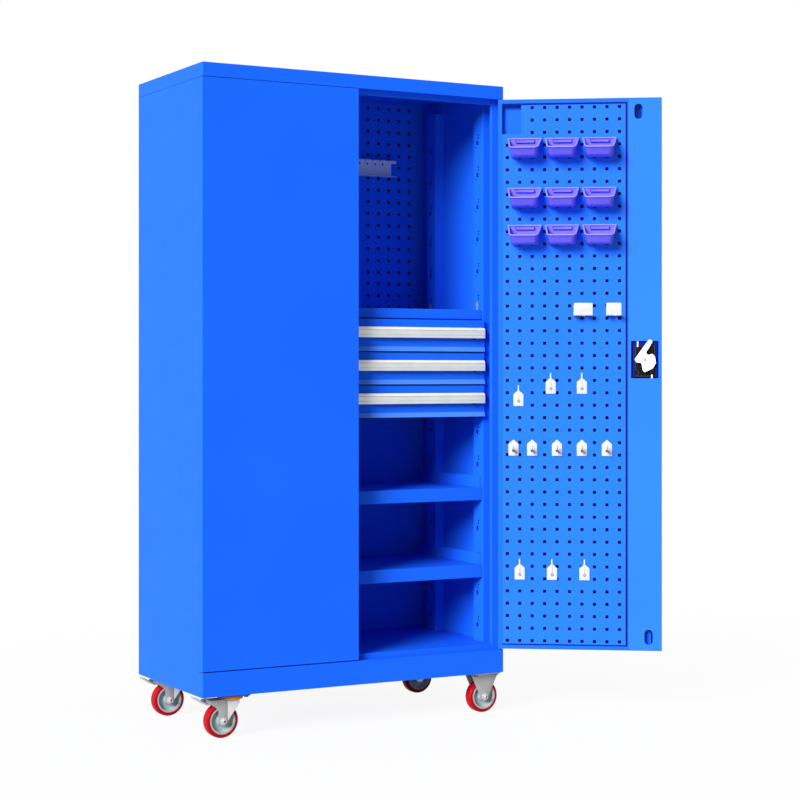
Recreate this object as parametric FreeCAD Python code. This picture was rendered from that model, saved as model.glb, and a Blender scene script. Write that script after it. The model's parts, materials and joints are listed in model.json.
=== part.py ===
import FreeCAD, Part
import math
import os

# Tool cabinet with two doors, perforated panels, three drawers and four casters.
# Millimetres. X runs to the right, Y away from the viewer and Z up.
# The origin is on the floor, under the middle of the cabinet's footprint.
# Right-hand pieces are shaped first, and left-hand ones are their mirror images.
# The right door and all that it carries are shaped closed and then swung open.

V = FreeCAD.Vector

# Whole cabinet
cabinet_width = 1000.0
cabinet_depth = 500.0
body_height = 1800.0
caster_height = 125.0
panel_sheet = 1.5
corner_bend = 3.0
inner_bend = 1.0
seat_gap = 0.3
cut_overrun = 6.0
parallel_share = 0.9

# Cap, plinth and deck
cap_height = 40.0
cap_seam = 1.0
top_rail_drop = 15.0
top_rail_return = 15.0
plinth_height = 70.0
plinth_wrap = 10.0
plinth_return = 8.0
deck_step = 16.0
deck_flange = 25.0
caster_channel_width = 170.0
caster_channel_sheet = 3.0
caster_channel_wall = 30.0

# Side and back panels
front_flange_width = 28.0
front_flange_return = 10.0
rear_flange_width = 20.0

# Slotted uprights
upright_stand_off = 30.5
upright_width = 57.0
front_upright_setback = 44.0
rear_upright_setback = 79.0
slot_pitch = 100.0
first_slot_rise = 50.0
slot_width = 11.0
slot_height = 13.0
slot_offset = 4.5
round_hole_radius = 3.5
round_hole_rise = 15.0
round_hole_offset = 6.0
thin_slot_height = 3.5
thin_slot_rise = 24.5
low_hole_drop = 13.0
low_hole_radius = 2.5

# Perforated panels
hole_pitch = 38.0
hole_size = 9.5
rear_panel_edge_gap = 36.0
rear_panel_stand_off = 12.0
rear_panel_columns = 24
rear_panel_rows = 18

# Doors
door_thickness = 24.0
door_sheet = 1.2
door_panel_sheet = 1.5
door_behind_gap = 2.0
door_top_gap = 1.5
door_bottom_gap = 3.0
door_centre_gap = 3.0
door_open_angle = 145.0
door_return = 12.0
door_edge_radius = 1.0
pivot_from_side = 6.0
pivot_from_front = 9.0
hinge_pin_radius = 3.0
hinge_pin_reach = 8.0
hinge_block_width = 9.0
hinge_block_depth = 15.0
hinge_block_height = 25.0
running_clearance = 0.05
bush_radius = 4.0
bush_flange_radius = 5.0
bush_tail = 4.0
door_panel_columns = 10
door_panel_rows = 44
door_first_column = 28.5
corner_notch_width = 71.0
corner_notch_height = 106.0

# Lock stile, lock and rods
lock_stile_width = 101.5
stile_slot_width = 25.0
stile_slot_height = 46.0
stile_slot_inset = 40.0
upper_slot_offset = 19.0
lower_slot_offset = 11.5
lock_rise = 890.0
lock_window_width = 83.0
lock_window_height = 114.0
lock_from_free_edge = 51.5
lock_plate_width = 73.0
lock_plate_height = 108.0
lock_plate_depth = 9.0
lock_plate_face = 17.0
rod_offset = 21.5
rod_from_pivot = 39.0
rod_width = 6.0
rod_thickness = 3.0
rod_slot_clearance = 2.0
rod_end_inset = 0.5
rod_guide_width = 24.0
rod_guide_height = 12.0
rod_guide_depth = 6.5
rod_guide_clearance = 0.5
cam_thickness = 3.0
cam_hub_radius = 9.0
cam_hub_reach = 1.5
cam_rounding = 3.0
cam_arm_rounding = 6.0
cam_corner_shares = ((12, 61, 1), (27, 60, 1), (13, 36, 0), (4, 22, 0), (9, 14, 0), (23, 18, 0), (31, 9, 0),
                     (34, -11, 0), (24, -27, 0), (-1, -39, 0), (-6, -33, 0), (-10, -11, 0), (-26, -8, 0),
                     (-31, 1, 0))
spindle_radius = 5.0
handle_hub_radius = 14.0
handle_hub_height = 14.0
handle_length = 115.0
handle_width = 20.0
handle_thickness = 8.0
escutcheon_radius = 19.0
escutcheon_thickness = 3.0
spindle_hole_radius = 12.0

# Shelves
shelf_sheet = 1.2
shelf_setback = 46.0
shelf_rear_gap = 7.0
shelf_side_gap = 1.5
shelf_lip_drop = 40.0
shelf_lip_return = 12.0
shelf_side_rise = 35.0
lower_shelf_rise = 326.0
upper_shelf_rise = 565.0
drawer_shelf_rise = 1115.0
drawer_shelf_lip_drop = 30.0
drawer_shelf_lip_return = 4.0
shelf_clip_width = 9.0
shelf_clip_height = 10.0
shelf_clip_tongue = 6.0
shelf_clip_foot = 14.0

# Drawers
drawer_count = 3
drawer_pitch = 100.0
drawer_gap = 3.0
drawer_setback = 32.0
drawer_left_edge = 12.0
drawer_front_depth = 18.0
drawer_front_lip = 17.0
drawer_front_lean = 5.0
drawer_sheet = 1.2
drawer_box_depth = 400.0
drawer_box_height = 78.0
drawer_box_drop = 10.0
slide_space = 12.7
slide_height = 35.0
slide_rise = 20.0
runner_height = 20.0
runner_gap = 0.5
handle_drop = 24.0
handle_strip_height = 32.0
handle_strip_reach = 16.0
handle_strip_wall = 2.0
handle_ridge_drop = 7.0
handle_top_depth = 11.0
handle_lip = 4.0
handle_cap_width = 4.5

# Rack for screwdrivers
rack_right_inset = 131.0
rack_tab_count = 7
rack_tab_pitch = 28.0
rack_slot_width = 6.0
rack_depth = 37.0
rack_height = 52.0
rack_sheet = 1.5
rack_tab_drop = 11.0
rack_row_from_top = 4.0
rack_hole_radius = 5.0
rack_slot_length = 24.0

# Parts bins
bin_back_width = 100.0
bin_front_width = 82.0
bin_base_back_width = 84.0
bin_base_front_width = 70.0
bin_height = 61.0
bin_front_height = 33.0
bin_top_depth = 92.0
bin_base_depth = 62.0
bin_wall = 2.0
bin_ledge_width = 60.0
bin_ledge_depth = 9.0
bin_ledge_drop = 11.0
bin_hook_offset = 20.0
bin_column_pitch = 114.0
bin_first_column = 82.0
bin_columns = 3
bin_row_shares = {"top": 3, "middle": 7, "bottom": 10}

# Hooks and plier racks
hook_plate_width = 31.0
hook_plate_height = 50.0
hook_plate_thickness = 3.0
hook_shoulder_drop = 14.0
hook_top_above_hole = 9.0
hook_pin_radius = 2.5
hook_pin_drop = 34.0
hook_tip_rise = 12.0
tall_tip_rise = 46.0
long_hook_reach = 40.0
short_hook_reach = 16.0
long_hook_shares = ((0.5, 16), (2, 16), (4, 16), (6, 16), (8, 16), (1, 6), (3.6, 6), (6.2, 6))
short_hook_shares = ((0.9, 20), (3.5, 21), (6, 21))
plier_rack_width = 58.0
plier_rack_reach = 34.0
plier_rack_height = 40.0
plier_rack_sheet = 2.0
plier_rack_finger = 12.0
plier_rack_shares = ((6.1, 27), (8.55, 27))

# Casters
wheel_radius = 50.0
wheel_width = 32.0
tread_depth = 11.0
tread_rounding = 6.0
rim_lip = 5.0
web_thickness = 8.0
hub_radius = 13.0
hub_length = 36.0
axle_radius = 5.0
axle_overhang = 5.0
axle_nut_radius = 8.5
axle_nut_height = 7.0
fork_sheet = 3.0
fork_inner_gap = 36.6
caster_from_middle = 203.0
swivel_axis_x = -394.0
swivel_trail = 30.0
rigid_wheel_x = 448.0
plate_length = 92.0
plate_width = 88.0
plate_thickness = 4.0
plate_bolt_x = 37.0
plate_bolt_y = 30.0
bolt_hole_radius = 4.4
bolt_radius = 4.0
bolt_head_radius = 6.5
bolt_head_height = 5.3
crown_radius = 34.0
crown_height = 10.0
dust_ring_radius = 35.0
dust_ring_height = 4.2
spigot_radius = 27.0
king_pin_radius = 6.0
king_pin_head_radius = 10.0
king_pin_head_height = 4.0
pedal_width = 26.0
pedal_reach = 122.0
pedal_step = 18.0
pedal_thickness = 2.5
pedal_pin_radius = 3.0
leg_end_radius = 14.5

# Places worked out from the sizes above
half_width = cabinet_width / 2
front_y = -cabinet_depth / 2
back_y = cabinet_depth / 2
body_bottom = caster_height
body_top = body_bottom + body_height
ceiling = body_top - panel_sheet
cap_bottom = body_top - cap_height
plinth_top = body_bottom + plinth_height
deck_top = plinth_top + deck_step
carcass_front_y = front_y + door_thickness + door_behind_gap
wall_x = half_width - panel_sheet
flange_x = half_width - front_flange_width
rail_x = flange_x - panel_sheet - seat_gap
back_panel_y = back_y - 2 * panel_sheet
side_top = cap_bottom - cap_seam
upright_x = wall_x - upright_stand_off
upright_top = side_top - panel_sheet - seat_gap
door_top = cap_bottom - door_top_gap
door_bottom = plinth_top + door_bottom_gap
door_width = half_width - door_centre_gap / 2
pivot_x = half_width - pivot_from_side
pivot_y = front_y + pivot_from_front
stile_edge = door_width - lock_stile_width
door_panel_face = door_thickness - door_sheet
lock_s = door_width - lock_from_free_edge
lock_z = plinth_top + lock_rise
upper_rod_s = lock_s - rod_offset
lower_rod_s = lock_s + rod_offset
rod_low_n = lock_plate_face + seat_gap
rod_high_n = rod_low_n + rod_thickness
shelf_half_width = upright_x - shelf_side_gap
shelf_front_y = carcass_front_y + shelf_setback
shelf_back_y = back_panel_y - shelf_rear_gap
drawer_shelf_top = body_bottom + drawer_shelf_rise
drawer_face_y = carcass_front_y + drawer_setback
drawer_right_edge = shelf_half_width - seat_gap
drawer_top = drawer_shelf_top - drawer_shelf_lip_drop - drawer_gap
housing_front_y = drawer_face_y + drawer_front_depth + 2 * seat_gap
housing_back_y = drawer_face_y + drawer_box_depth + 2 * slide_space
housing_bottom = drawer_top - drawer_count * drawer_pitch
fork_outer = fork_inner_gap / 2 + fork_sheet
plate_bottom = body_bottom - plate_thickness
swivel_wheel_x = swivel_axis_x - swivel_trail
crown_top = plate_bottom - dust_ring_height - seat_gap
crown_bottom = crown_top - crown_height


def block(low, high):
    """A box from its low corner to its high corner."""
    return Part.makeBox(high[0] - low[0], high[1] - low[1], high[2] - low[2], V(*low))


def bar(start, end, radius):
    """A round bar between two points."""
    axis = V(*end) - V(*start)
    return Part.makeCylinder(radius, axis.Length, V(*start), axis)


def on_plan(height):
    """Lays an outline flat at a height."""
    return lambda a, b: V(a, b, height)


def on_side(x):
    """Stands an outline up in the depth direction, at one place across the width."""
    return lambda a, b: V(x, a, b)


def on_front(y):
    """Stands an outline up across the width, at one depth."""
    return lambda a, b: V(a, y, b)


def outline(points, radii, place):
    """A closed outline whose corners are rounded by the radius given for each."""
    edges = []
    last_end = None
    first_start = None
    count = len(points)
    for index, radius in enumerate(radii):
        here = V(points[index][0], points[index][1], 0)
        before = V(points[index - 1][0], points[index - 1][1], 0) - here
        after = V(points[(index + 1) % count][0], points[(index + 1) % count][1], 0) - here
        half_angle = before.getAngle(after) / 2
        before.normalize()
        after.normalize()
        if radius > 0:
            reach = radius / math.tan(half_angle)
            middle_way = before + after
            middle_way.normalize()
            start = here + before * reach
            end = here + after * reach
            middle = here + middle_way * (radius / math.sin(half_angle) - radius)
            edges.append(Part.Arc(place(start.x, start.y), place(middle.x, middle.y),
                                  place(end.x, end.y)).toShape())
        else:
            start = here
            end = here
        if last_end is not None:
            edges.append(Part.makeLine(place(last_end.x, last_end.y), place(start.x, start.y)))
        else:
            first_start = start
        last_end = end
    edges.append(Part.makeLine(place(last_end.x, last_end.y),
                               place(first_start.x, first_start.y)))
    return Part.Wire(Part.__sortEdges__(edges))


def prism(points, place, along, radii=None):
    """A solid with a flat outline and a straight depth."""
    corner_radii = radii or [0] * len(points)
    return Part.Face(outline(points, corner_radii, place)).extrude(along)


def folded_sheet(path, sheet, place, along, bend=inner_bend, turn=1):
    """Sheet metal folded along a path, its thickness on the left of it, or right with turn -1."""
    points = [V(a, b, 0) for a, b in path]
    normals = []
    for first, second in zip(points, points[1:]):
        way = second - first
        way.normalize()
        normals.append(V(-way.y, way.x, 0) * turn)
    inner = [points[0] + normals[0] * sheet]
    path_radii = [0]
    inner_radii = [0]
    for index in range(1, len(points) - 1):
        first, second = normals[index - 1], normals[index]
        mitre = (first + second) * (sheet / (1 + first.dot(second)))
        inner.append(points[index] + mitre)
        bends_inward = (first.cross(second).z) * turn > 0
        path_radii.append(bend + sheet if bends_inward else bend)
        inner_radii.append(bend if bends_inward else bend + sheet)
    inner.append(points[-1] + normals[-1] * sheet)
    path_radii.append(0)
    inner_radii.append(0)
    corners = [(p.x, p.y) for p in points] + [(p.x, p.y) for p in reversed(inner)]
    return prism(corners, place, along, path_radii + inner_radii[::-1])


def joined(shapes):
    """Pieces of one part welded into one solid."""
    return shapes[0].fuse(shapes[1:]).removeSplitter()


def mirrored(shape):
    """The mirror image on the other side of the cabinet."""
    return shape.mirror(V(0, 0, 0), V(1, 0, 0))


def turned_bar(profile, centre):
    """A solid of revolution about the Y axis through centre, from (radius, offset) points."""
    wire = Part.makePolygon([V(r, offset, 0) for r, offset in profile + profile[:1]])
    solid = Part.Face(wire).revolve(V(0, 0, 0), V(0, 1, 0), 360)
    solid.translate(V(*centre))
    return solid


def save(name, shapes):
    """Writes one sub-part, with all its solids, under its own name."""
    shape = shapes[0] if len(shapes) == 1 else Part.makeCompound(shapes)
    shape.exportStep("parts/" + name + ".step")
    print(name, len(shape.Solids), "solids", shape.isValid())


def perforated(outer, place, along, centres):
    """A flat panel with square holes, from its outer outline and the holes' centres."""
    half = hole_size / 2
    wires = [outline(outer, [0] * len(outer), place)]
    for a, b in centres:
        square = ((a - half, b - half), (a + half, b - half), (a + half, b + half),
                  (a - half, b + half))
        wires.append(outline(square, [0] * len(square), place))
    return Part.Face(wires, "Part::FaceMakerBullseye").extrude(along)


# Body of the cabinet

def top_cover():
    """The cap: a shallow pan with a ledge over the doors."""
    shell = block((-half_width, front_y, cap_bottom), (half_width, back_y, body_top))
    upright_edges = [e for e in shell.Edges if abs(e.tangentAt(e.FirstParameter).z) > parallel_share]
    shell = shell.makeFillet(corner_bend, upright_edges)
    rim = [e for e in shell.Edges if abs(e.CenterOfMass.z - body_top) < seat_gap]
    shell = shell.makeFillet(panel_sheet, rim)
    shell = shell.cut(block((-wall_x, front_y + panel_sheet, cap_bottom - cut_overrun),
                            (wall_x, back_y - panel_sheet, ceiling)))
    ledge = block((-wall_x, front_y + panel_sheet, cap_bottom),
                  (wall_x, carcass_front_y, cap_bottom + panel_sheet))
    cap = joined([shell, ledge])
    return cap.cut(door_holes(cap_bottom, panel_sheet, upper_rod_s))


def door_holes(level, thickness, rod_s):
    """Holes for the two hinge bushes and for one lock rod, through a level sheet."""
    low = level - cut_overrun
    high = level + thickness + cut_overrun
    tools = [bar((side * pivot_x, pivot_y, low), (side * pivot_x, pivot_y, high),
                 bush_radius + running_clearance) for side in (-1, 1)]
    half = rod_width / 2 + rod_slot_clearance
    x = half_width - rod_s
    tools.append(block((x - half, front_y + rod_low_n - rod_slot_clearance, low),
                       (x + half, front_y + rod_high_n + rod_slot_clearance, high)))
    return Part.makeCompound(tools)


def front_top_rail():
    """The rail across the top of the opening, which the doors close against."""
    path = ((carcass_front_y, ceiling), (carcass_front_y, cap_bottom - top_rail_drop),
            (carcass_front_y + top_rail_return, cap_bottom - top_rail_drop))
    return folded_sheet(path, panel_sheet, on_side(-rail_x), V(2 * rail_x, 0, 0))


def right_side_panel():
    """A side wall with a folded frame flange in front and a narrow flange behind."""
    rear_x = half_width - rear_flange_width
    path = ((flange_x, carcass_front_y + front_flange_return), (flange_x, carcass_front_y),
            (half_width, carcass_front_y), (half_width, back_y), (rear_x, back_y))
    upper = folded_sheet(path, panel_sheet, on_plan(plinth_top), V(0, 0, side_top - plinth_top),
                         corner_bend - panel_sheet)
    low_path = ((half_width, front_y + plinth_wrap), (half_width, back_y), (rear_x, back_y))
    lower = folded_sheet(low_path, panel_sheet, on_plan(body_bottom), V(0, 0, plinth_height),
                         corner_bend - panel_sheet)
    joggle = block((wall_x - panel_sheet, carcass_front_y + front_flange_return, side_top - panel_sheet),
                   (wall_x, back_panel_y, ceiling))
    return joined([upper, lower, joggle])


def back_panel():
    """The rear sheet, on the side walls' flanges and clear of their bends."""
    edge = half_width - corner_bend
    return block((-edge, back_panel_y, body_bottom), (edge, back_y - panel_sheet, ceiling))


def base_frame():
    """The folded plinth, and two channels that carry the casters."""
    wrap = ((-half_width, front_y + plinth_wrap), (-half_width, front_y), (half_width, front_y),
            (half_width, front_y + plinth_wrap))
    face = folded_sheet(wrap, panel_sheet, on_plan(body_bottom), V(0, 0, plinth_height),
                        corner_bend - panel_sheet)
    ledge = block((-wall_x, front_y + panel_sheet, plinth_top - panel_sheet),
                  (wall_x, carcass_front_y + panel_sheet, plinth_top))
    corner_relief = block((rail_x, carcass_front_y, plinth_top - 2 * panel_sheet),
                          (half_width, carcass_front_y + 2 * panel_sheet, plinth_top + cut_overrun))
    ledge = ledge.cut([corner_relief, mirrored(corner_relief)])
    riser = block((-rail_x, carcass_front_y, plinth_top - panel_sheet),
                  (rail_x, carcass_front_y + panel_sheet, deck_top))
    foot = block((-wall_x, front_y + panel_sheet, body_bottom),
                 (wall_x, front_y + plinth_return, body_bottom + panel_sheet))
    plinth = joined([face, ledge, riser, foot])
    plinth = plinth.cut(door_holes(plinth_top - panel_sheet, panel_sheet, lower_rod_s))
    right = caster_channel(rigid_wheel_x)
    left = mirrored(caster_channel(-swivel_axis_x))
    return [plinth, right, left]


def caster_channel(plate_x):
    """A channel along one side wall, drilled for its two casters."""
    inner_x = wall_x - caster_channel_width
    wall_top = body_bottom + caster_channel_wall
    path = ((inner_x, wall_top), (inner_x, body_bottom), (wall_x, body_bottom), (wall_x, wall_top))
    start_y = front_y + plinth_return
    channel = folded_sheet(path, caster_channel_sheet, on_front(start_y),
                           V(0, back_panel_y - start_y, 0))
    holes = []
    for x, y in bolt_places(plate_x):
        holes.append(bar((x, y, body_bottom - cut_overrun),
                         (x, y, body_bottom + caster_channel_sheet + cut_overrun), bolt_hole_radius))
    return channel.cut(holes)


def bolt_places(plate_x):
    """The eight bolts of the front and rear caster on one side."""
    return [(plate_x + a * plate_bolt_x, y + b * plate_bolt_y)
            for y in (-caster_from_middle, caster_from_middle) for a in (-1, 1) for b in (-1, 1)]


def floor_panel():
    """The bottom deck, folded down at both sides and notched round the frame flanges."""
    path = ((-wall_x, deck_top - deck_flange), (-wall_x, deck_top), (wall_x, deck_top),
            (wall_x, deck_top - deck_flange))
    start_y = carcass_front_y + panel_sheet
    deck = folded_sheet(path, panel_sheet, on_front(start_y), V(0, back_panel_y - start_y, 0), turn=-1)
    notch = block((rail_x, start_y - cut_overrun, deck_top - deck_flange - cut_overrun),
                  (half_width, carcass_front_y + front_flange_return + seat_gap, deck_top + cut_overrun))
    return deck.cut([notch, mirrored(notch)])


def slotted_uprights():
    """Four slotted channels inside the side walls, which carry the shelves."""
    start_y = carcass_front_y + front_upright_setback
    path = ((wall_x, start_y), (upright_x, start_y), (upright_x, start_y + upright_width),
            (wall_x, start_y + upright_width))
    channel = folded_sheet(path, panel_sheet, on_plan(deck_top), V(0, 0, upright_top - deck_top),
                           turn=-1)
    front = channel.cut(Part.makeCompound(upright_cuts()))
    rear = front.copy()
    rear.translate(V(0, rear_slot_y() - front_slot_y(), 0))
    return [front, rear, mirrored(front), mirrored(rear)]


def front_slot_y():
    """The depth of the shelf slots in a front upright."""
    return carcass_front_y + front_upright_setback + upright_width / 2 + slot_offset


def rear_slot_y():
    """The depth of the shelf slots in a rear upright."""
    return back_y - rear_upright_setback - upright_width / 2 + slot_offset


def slot_levels():
    """The heights of the shelf slots."""
    count = int((upright_top - deck_top - first_slot_rise - slot_pitch / 2) / slot_pitch) + 1
    return [deck_top + first_slot_rise + k * slot_pitch for k in range(count)]


def upright_cuts():
    """The cluster of openings that repeats up an upright."""
    low_x = upright_x - cut_overrun
    high_x = upright_x + cut_overrun
    y = front_slot_y()
    cuts = []
    for z in slot_levels():
        cuts.append(block((low_x, y - slot_width / 2, z - slot_height / 2),
                          (high_x, y + slot_width / 2, z + slot_height / 2)))
        small_y = y - round_hole_offset
        cuts.append(bar((low_x, small_y, z + round_hole_rise), (high_x, small_y, z + round_hole_rise),
                        round_hole_radius))
        cuts.append(block((low_x, small_y - slot_width / 2, z + thin_slot_rise - thin_slot_height / 2),
                          (high_x, small_y + slot_width / 2, z + thin_slot_rise + thin_slot_height / 2)))
        low_y = y + slot_width
        cuts.append(bar((low_x, low_y, z - low_hole_drop), (high_x, low_y, z - low_hole_drop),
                        low_hole_radius))
    return cuts


def rear_pegboard():
    """The perforated panel at the back of the upper bay, stood off on folded edges."""
    edge = half_width - rear_panel_edge_gap
    face_y = back_panel_y - rear_panel_stand_off
    low = drawer_shelf_top + seat_gap
    high = ceiling - seat_gap
    first_x = -hole_pitch * (rear_panel_columns - 1) / 2
    first_z = (low + high - hole_pitch * (rear_panel_rows - 1)) / 2
    centres = [(first_x + i * hole_pitch, first_z + k * hole_pitch)
               for i in range(rear_panel_columns) for k in range(rear_panel_rows)]
    corners = ((-edge, low), (edge, low), (edge, high), (-edge, high))
    face = perforated(corners, on_front(face_y), V(0, panel_sheet, 0), centres)
    fold = block((edge - panel_sheet, face_y, low), (edge, back_panel_y, high))
    return joined([face, fold, mirrored(fold)])


def screwdriver_rack():
    """A two-tier rack with open-fronted slots above and round holes below."""
    face_y = back_panel_y - rear_panel_stand_off
    right = half_width - rack_right_inset
    left = right - rack_tab_count * rack_tab_pitch
    low = drawer_shelf_top + seat_gap
    high = ceiling - seat_gap
    first_z = (low + high - hole_pitch * (rear_panel_rows - 1)) / 2
    top = first_z + (rear_panel_rows - 1 - rack_row_from_top) * hole_pitch - hole_pitch / 2
    front = face_y - rack_depth
    path = ((front, top - rack_tab_drop), (front, top), (face_y, top), (face_y, top - rack_height),
            (front, top - rack_height))
    frame = folded_sheet(path, rack_sheet, on_side(left), V(right - left, 0, 0), turn=-1)
    cuts = []
    for i in range(rack_tab_count):
        x = left + (i + 1) * rack_tab_pitch - rack_slot_width / 2
        if i + 1 < rack_tab_count:
            cuts.append(block((x - rack_slot_width / 2, front - cut_overrun,
                               top - rack_tab_drop - cut_overrun),
                              (x + rack_slot_width / 2, front + rack_slot_length, top + cut_overrun)))
        hole_y = front + rack_depth / 2
        cuts.append(bar((x, hole_y, top - rack_height - cut_overrun),
                        (x, hole_y, top - rack_height + cut_overrun), rack_hole_radius))
    return frame.cut(Part.makeCompound(cuts))


def shelf(top, lip_drop, lip_return, side_rise):
    """A folded shelf with a deep front lip and, where it is loose, turned-up sides."""
    low = top - lip_drop
    path = ((shelf_front_y + lip_return, low), (shelf_front_y, low), (shelf_front_y, top),
            (shelf_back_y, top), (shelf_back_y, top - deck_flange))
    pan = folded_sheet(path, shelf_sheet, on_side(-shelf_half_width), V(2 * shelf_half_width, 0, 0),
                       turn=-1)
    if side_rise == 0:
        return pan
    side = block((shelf_half_width - shelf_sheet, shelf_front_y + lip_return, top - shelf_sheet),
                 (shelf_half_width, shelf_back_y - lip_return, top + side_rise))
    return joined([pan, side, mirrored(side)])


def shelf_clips():
    """Hooks through the upright slots, with a foot under each corner of a shelf."""
    clips = []
    for top in (body_bottom + lower_shelf_rise, body_bottom + upper_shelf_rise, drawer_shelf_top):
        underside = top - shelf_sheet
        slot_z = min(slot_levels(), key=lambda level: abs(level - underside))
        for y in (front_slot_y(), rear_slot_y()):
            clip = shelf_clip(y, slot_z, underside)
            clips += [clip, mirrored(clip)]
    return clips


def shelf_clip(y, slot_z, underside):
    """One shelf hook, from its slot to the underside of the deck."""
    near = y - shelf_clip_width / 2
    far = y + shelf_clip_width / 2
    low = min(slot_z - shelf_clip_height / 2, underside - shelf_sheet)
    high = max(slot_z + shelf_clip_height / 2, underside)
    plate = block((upright_x - shelf_side_gap, near, low), (upright_x, far, high))
    tongue = block((upright_x - shelf_side_gap, near, slot_z - shelf_clip_height / 2),
                   (upright_x + shelf_clip_tongue, far, slot_z + shelf_clip_height / 2))
    foot = block((upright_x - shelf_clip_foot, near, underside - shelf_sheet),
                 (upright_x, far, underside))
    return joined([plate, tongue, foot])


# Drawers

def drawer_housing():
    """The open-fronted case of the drawers, hung under its shelf."""
    low = housing_bottom
    high = drawer_shelf_top - shelf_sheet
    left = drawer_left_edge
    right = drawer_right_edge
    case = block((left, housing_front_y, low), (right, housing_back_y, high))
    space = block((left + panel_sheet, housing_front_y - cut_overrun, low + panel_sheet),
                  (right - panel_sheet, housing_back_y - panel_sheet, high + cut_overrun))
    notches = []
    for y in (front_slot_y(), rear_slot_y()):
        reach = shelf_clip_width / 2 + seat_gap
        notches.append(block((right - 2 * panel_sheet, y - reach, high - shelf_sheet - seat_gap),
                             (right + cut_overrun, y + reach, high + cut_overrun)))
    return case.cut([space] + notches)


def slide_place(number):
    """The lowest point of a drawer's slides, counted from the top drawer."""
    return drawer_top - number * drawer_pitch + slide_rise


def drawer_outer_rails():
    """The fixed channels of the drawer slides, one pair to a drawer."""
    rails = []
    for number in range(1, drawer_count + 1):
        low = slide_place(number)
        high = low + slide_height
        wall_left = drawer_left_edge + panel_sheet
        wall_right = drawer_right_edge - panel_sheet
        lip = slide_space - 2 * runner_gap
        length = V(0, drawer_box_depth - drawer_front_depth, 0)
        left = ((wall_left + lip, low), (wall_left, low), (wall_left, high), (wall_left + lip, high))
        right = ((wall_right - lip, low), (wall_right, low), (wall_right, high), (wall_right - lip, high))
        rails.append(folded_sheet(left, panel_sheet, on_front(housing_front_y), length, turn=-1))
        rails.append(folded_sheet(right, panel_sheet, on_front(housing_front_y), length))
    return rails


def drawer_box(number):
    """A drawer's open-topped box and the two runners on its sides."""
    top = drawer_top - (number - 1) * drawer_pitch - drawer_box_drop
    low = top - drawer_box_height
    left = drawer_left_edge + panel_sheet + slide_space
    right = drawer_right_edge - panel_sheet - slide_space
    near = drawer_face_y + drawer_sheet
    far = drawer_face_y + drawer_box_depth
    box = block((left, near, low), (right, far, top))
    inside = block((left + drawer_sheet, near + drawer_sheet, low + drawer_sheet),
                   (right - drawer_sheet, far - drawer_sheet, top + cut_overrun))
    box = box.cut(inside)
    middle = slide_place(number) + slide_height / 2
    reach = slide_space - panel_sheet - runner_gap
    runner_low = middle - runner_height / 2
    runner_high = middle + runner_height / 2
    start = housing_front_y + runner_gap
    runners = [block((left - reach, start, runner_low), (left, far, runner_high)),
               block((right, start, runner_low), (right + reach, far, runner_high))]
    return [box] + runners


def drawer_front(number):
    """A drawer's folded front, whose bottom edge leans forward."""
    top = drawer_top - (number - 1) * drawer_pitch
    low = top - drawer_pitch + drawer_gap
    knee = low + drawer_front_lip
    back = drawer_face_y + drawer_front_depth
    lean_y = drawer_face_y - drawer_front_lean
    outer = ((back, low), (lean_y, low), (drawer_face_y, knee), (drawer_face_y, top), (back, top))
    inset = drawer_sheet
    inner = ((back + cut_overrun, low + inset), (lean_y + inset, low + inset),
             (drawer_face_y + inset, knee), (drawer_face_y + inset, top - inset),
             (back + cut_overrun, top - inset))
    width = drawer_right_edge - drawer_left_edge
    edge_radii = [0, drawer_sheet / 2, inner_bend, drawer_sheet / 2, 0]
    shell = prism(outer, on_side(drawer_left_edge), V(width, 0, 0), edge_radii)
    hollow = prism(inner, on_side(drawer_left_edge + inset), V(width - 2 * inset, 0, 0))
    return shell.cut(hollow)


def drawer_handle(number):
    """The full-width aluminium pull of a drawer, with a cap at each end."""
    top = drawer_top - (number - 1) * drawer_pitch - handle_drop
    low = top - handle_strip_height
    face = drawer_face_y
    reach = face - handle_strip_reach
    path = ((face, low + handle_strip_height / 3), (face, top), (face - handle_top_depth, top),
            (reach, top - handle_ridge_drop), (reach, low), (reach + handle_lip, low))
    left = drawer_left_edge
    width = drawer_right_edge - drawer_left_edge
    strip = folded_sheet(path, handle_strip_wall, on_side(left + handle_cap_width),
                         V(width - 2 * handle_cap_width, 0, 0), turn=1)
    cap_points = ((face, low), (face, top), (face - handle_top_depth, top),
                  (reach, top - handle_ridge_drop), (reach, low))
    cap_radii = [0, 0, handle_strip_wall, handle_strip_wall, 0]
    left_cap = prism(cap_points, on_side(left), V(handle_cap_width, 0, 0), cap_radii)
    right_cap = left_cap.copy()
    right_cap.translate(V(width - handle_cap_width, 0, 0))
    return [strip, left_cap, right_cap]


# Doors, shaped closed, with s measured from the hinge edge and n inwards from the front

def door_block(s_low, s_high, n_low, n_high, z_low, z_high):
    """A box given in the closed right door's own directions."""
    return block((half_width - s_high, front_y + n_low, z_low),
                 (half_width - s_low, front_y + n_high, z_high))


def door_bar(s, n_low, n_high, z, radius):
    """A round bar through the closed right door."""
    return bar((half_width - s, front_y + n_low, z), (half_width - s, front_y + n_high, z), radius)


def swung(shape):
    """A right-door piece turned about the hinge to where the door stands open."""
    opened = shape.copy()
    opened.rotate(V(pivot_x, pivot_y, 0), V(0, 0, 1), door_open_angle)
    return opened


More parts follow.
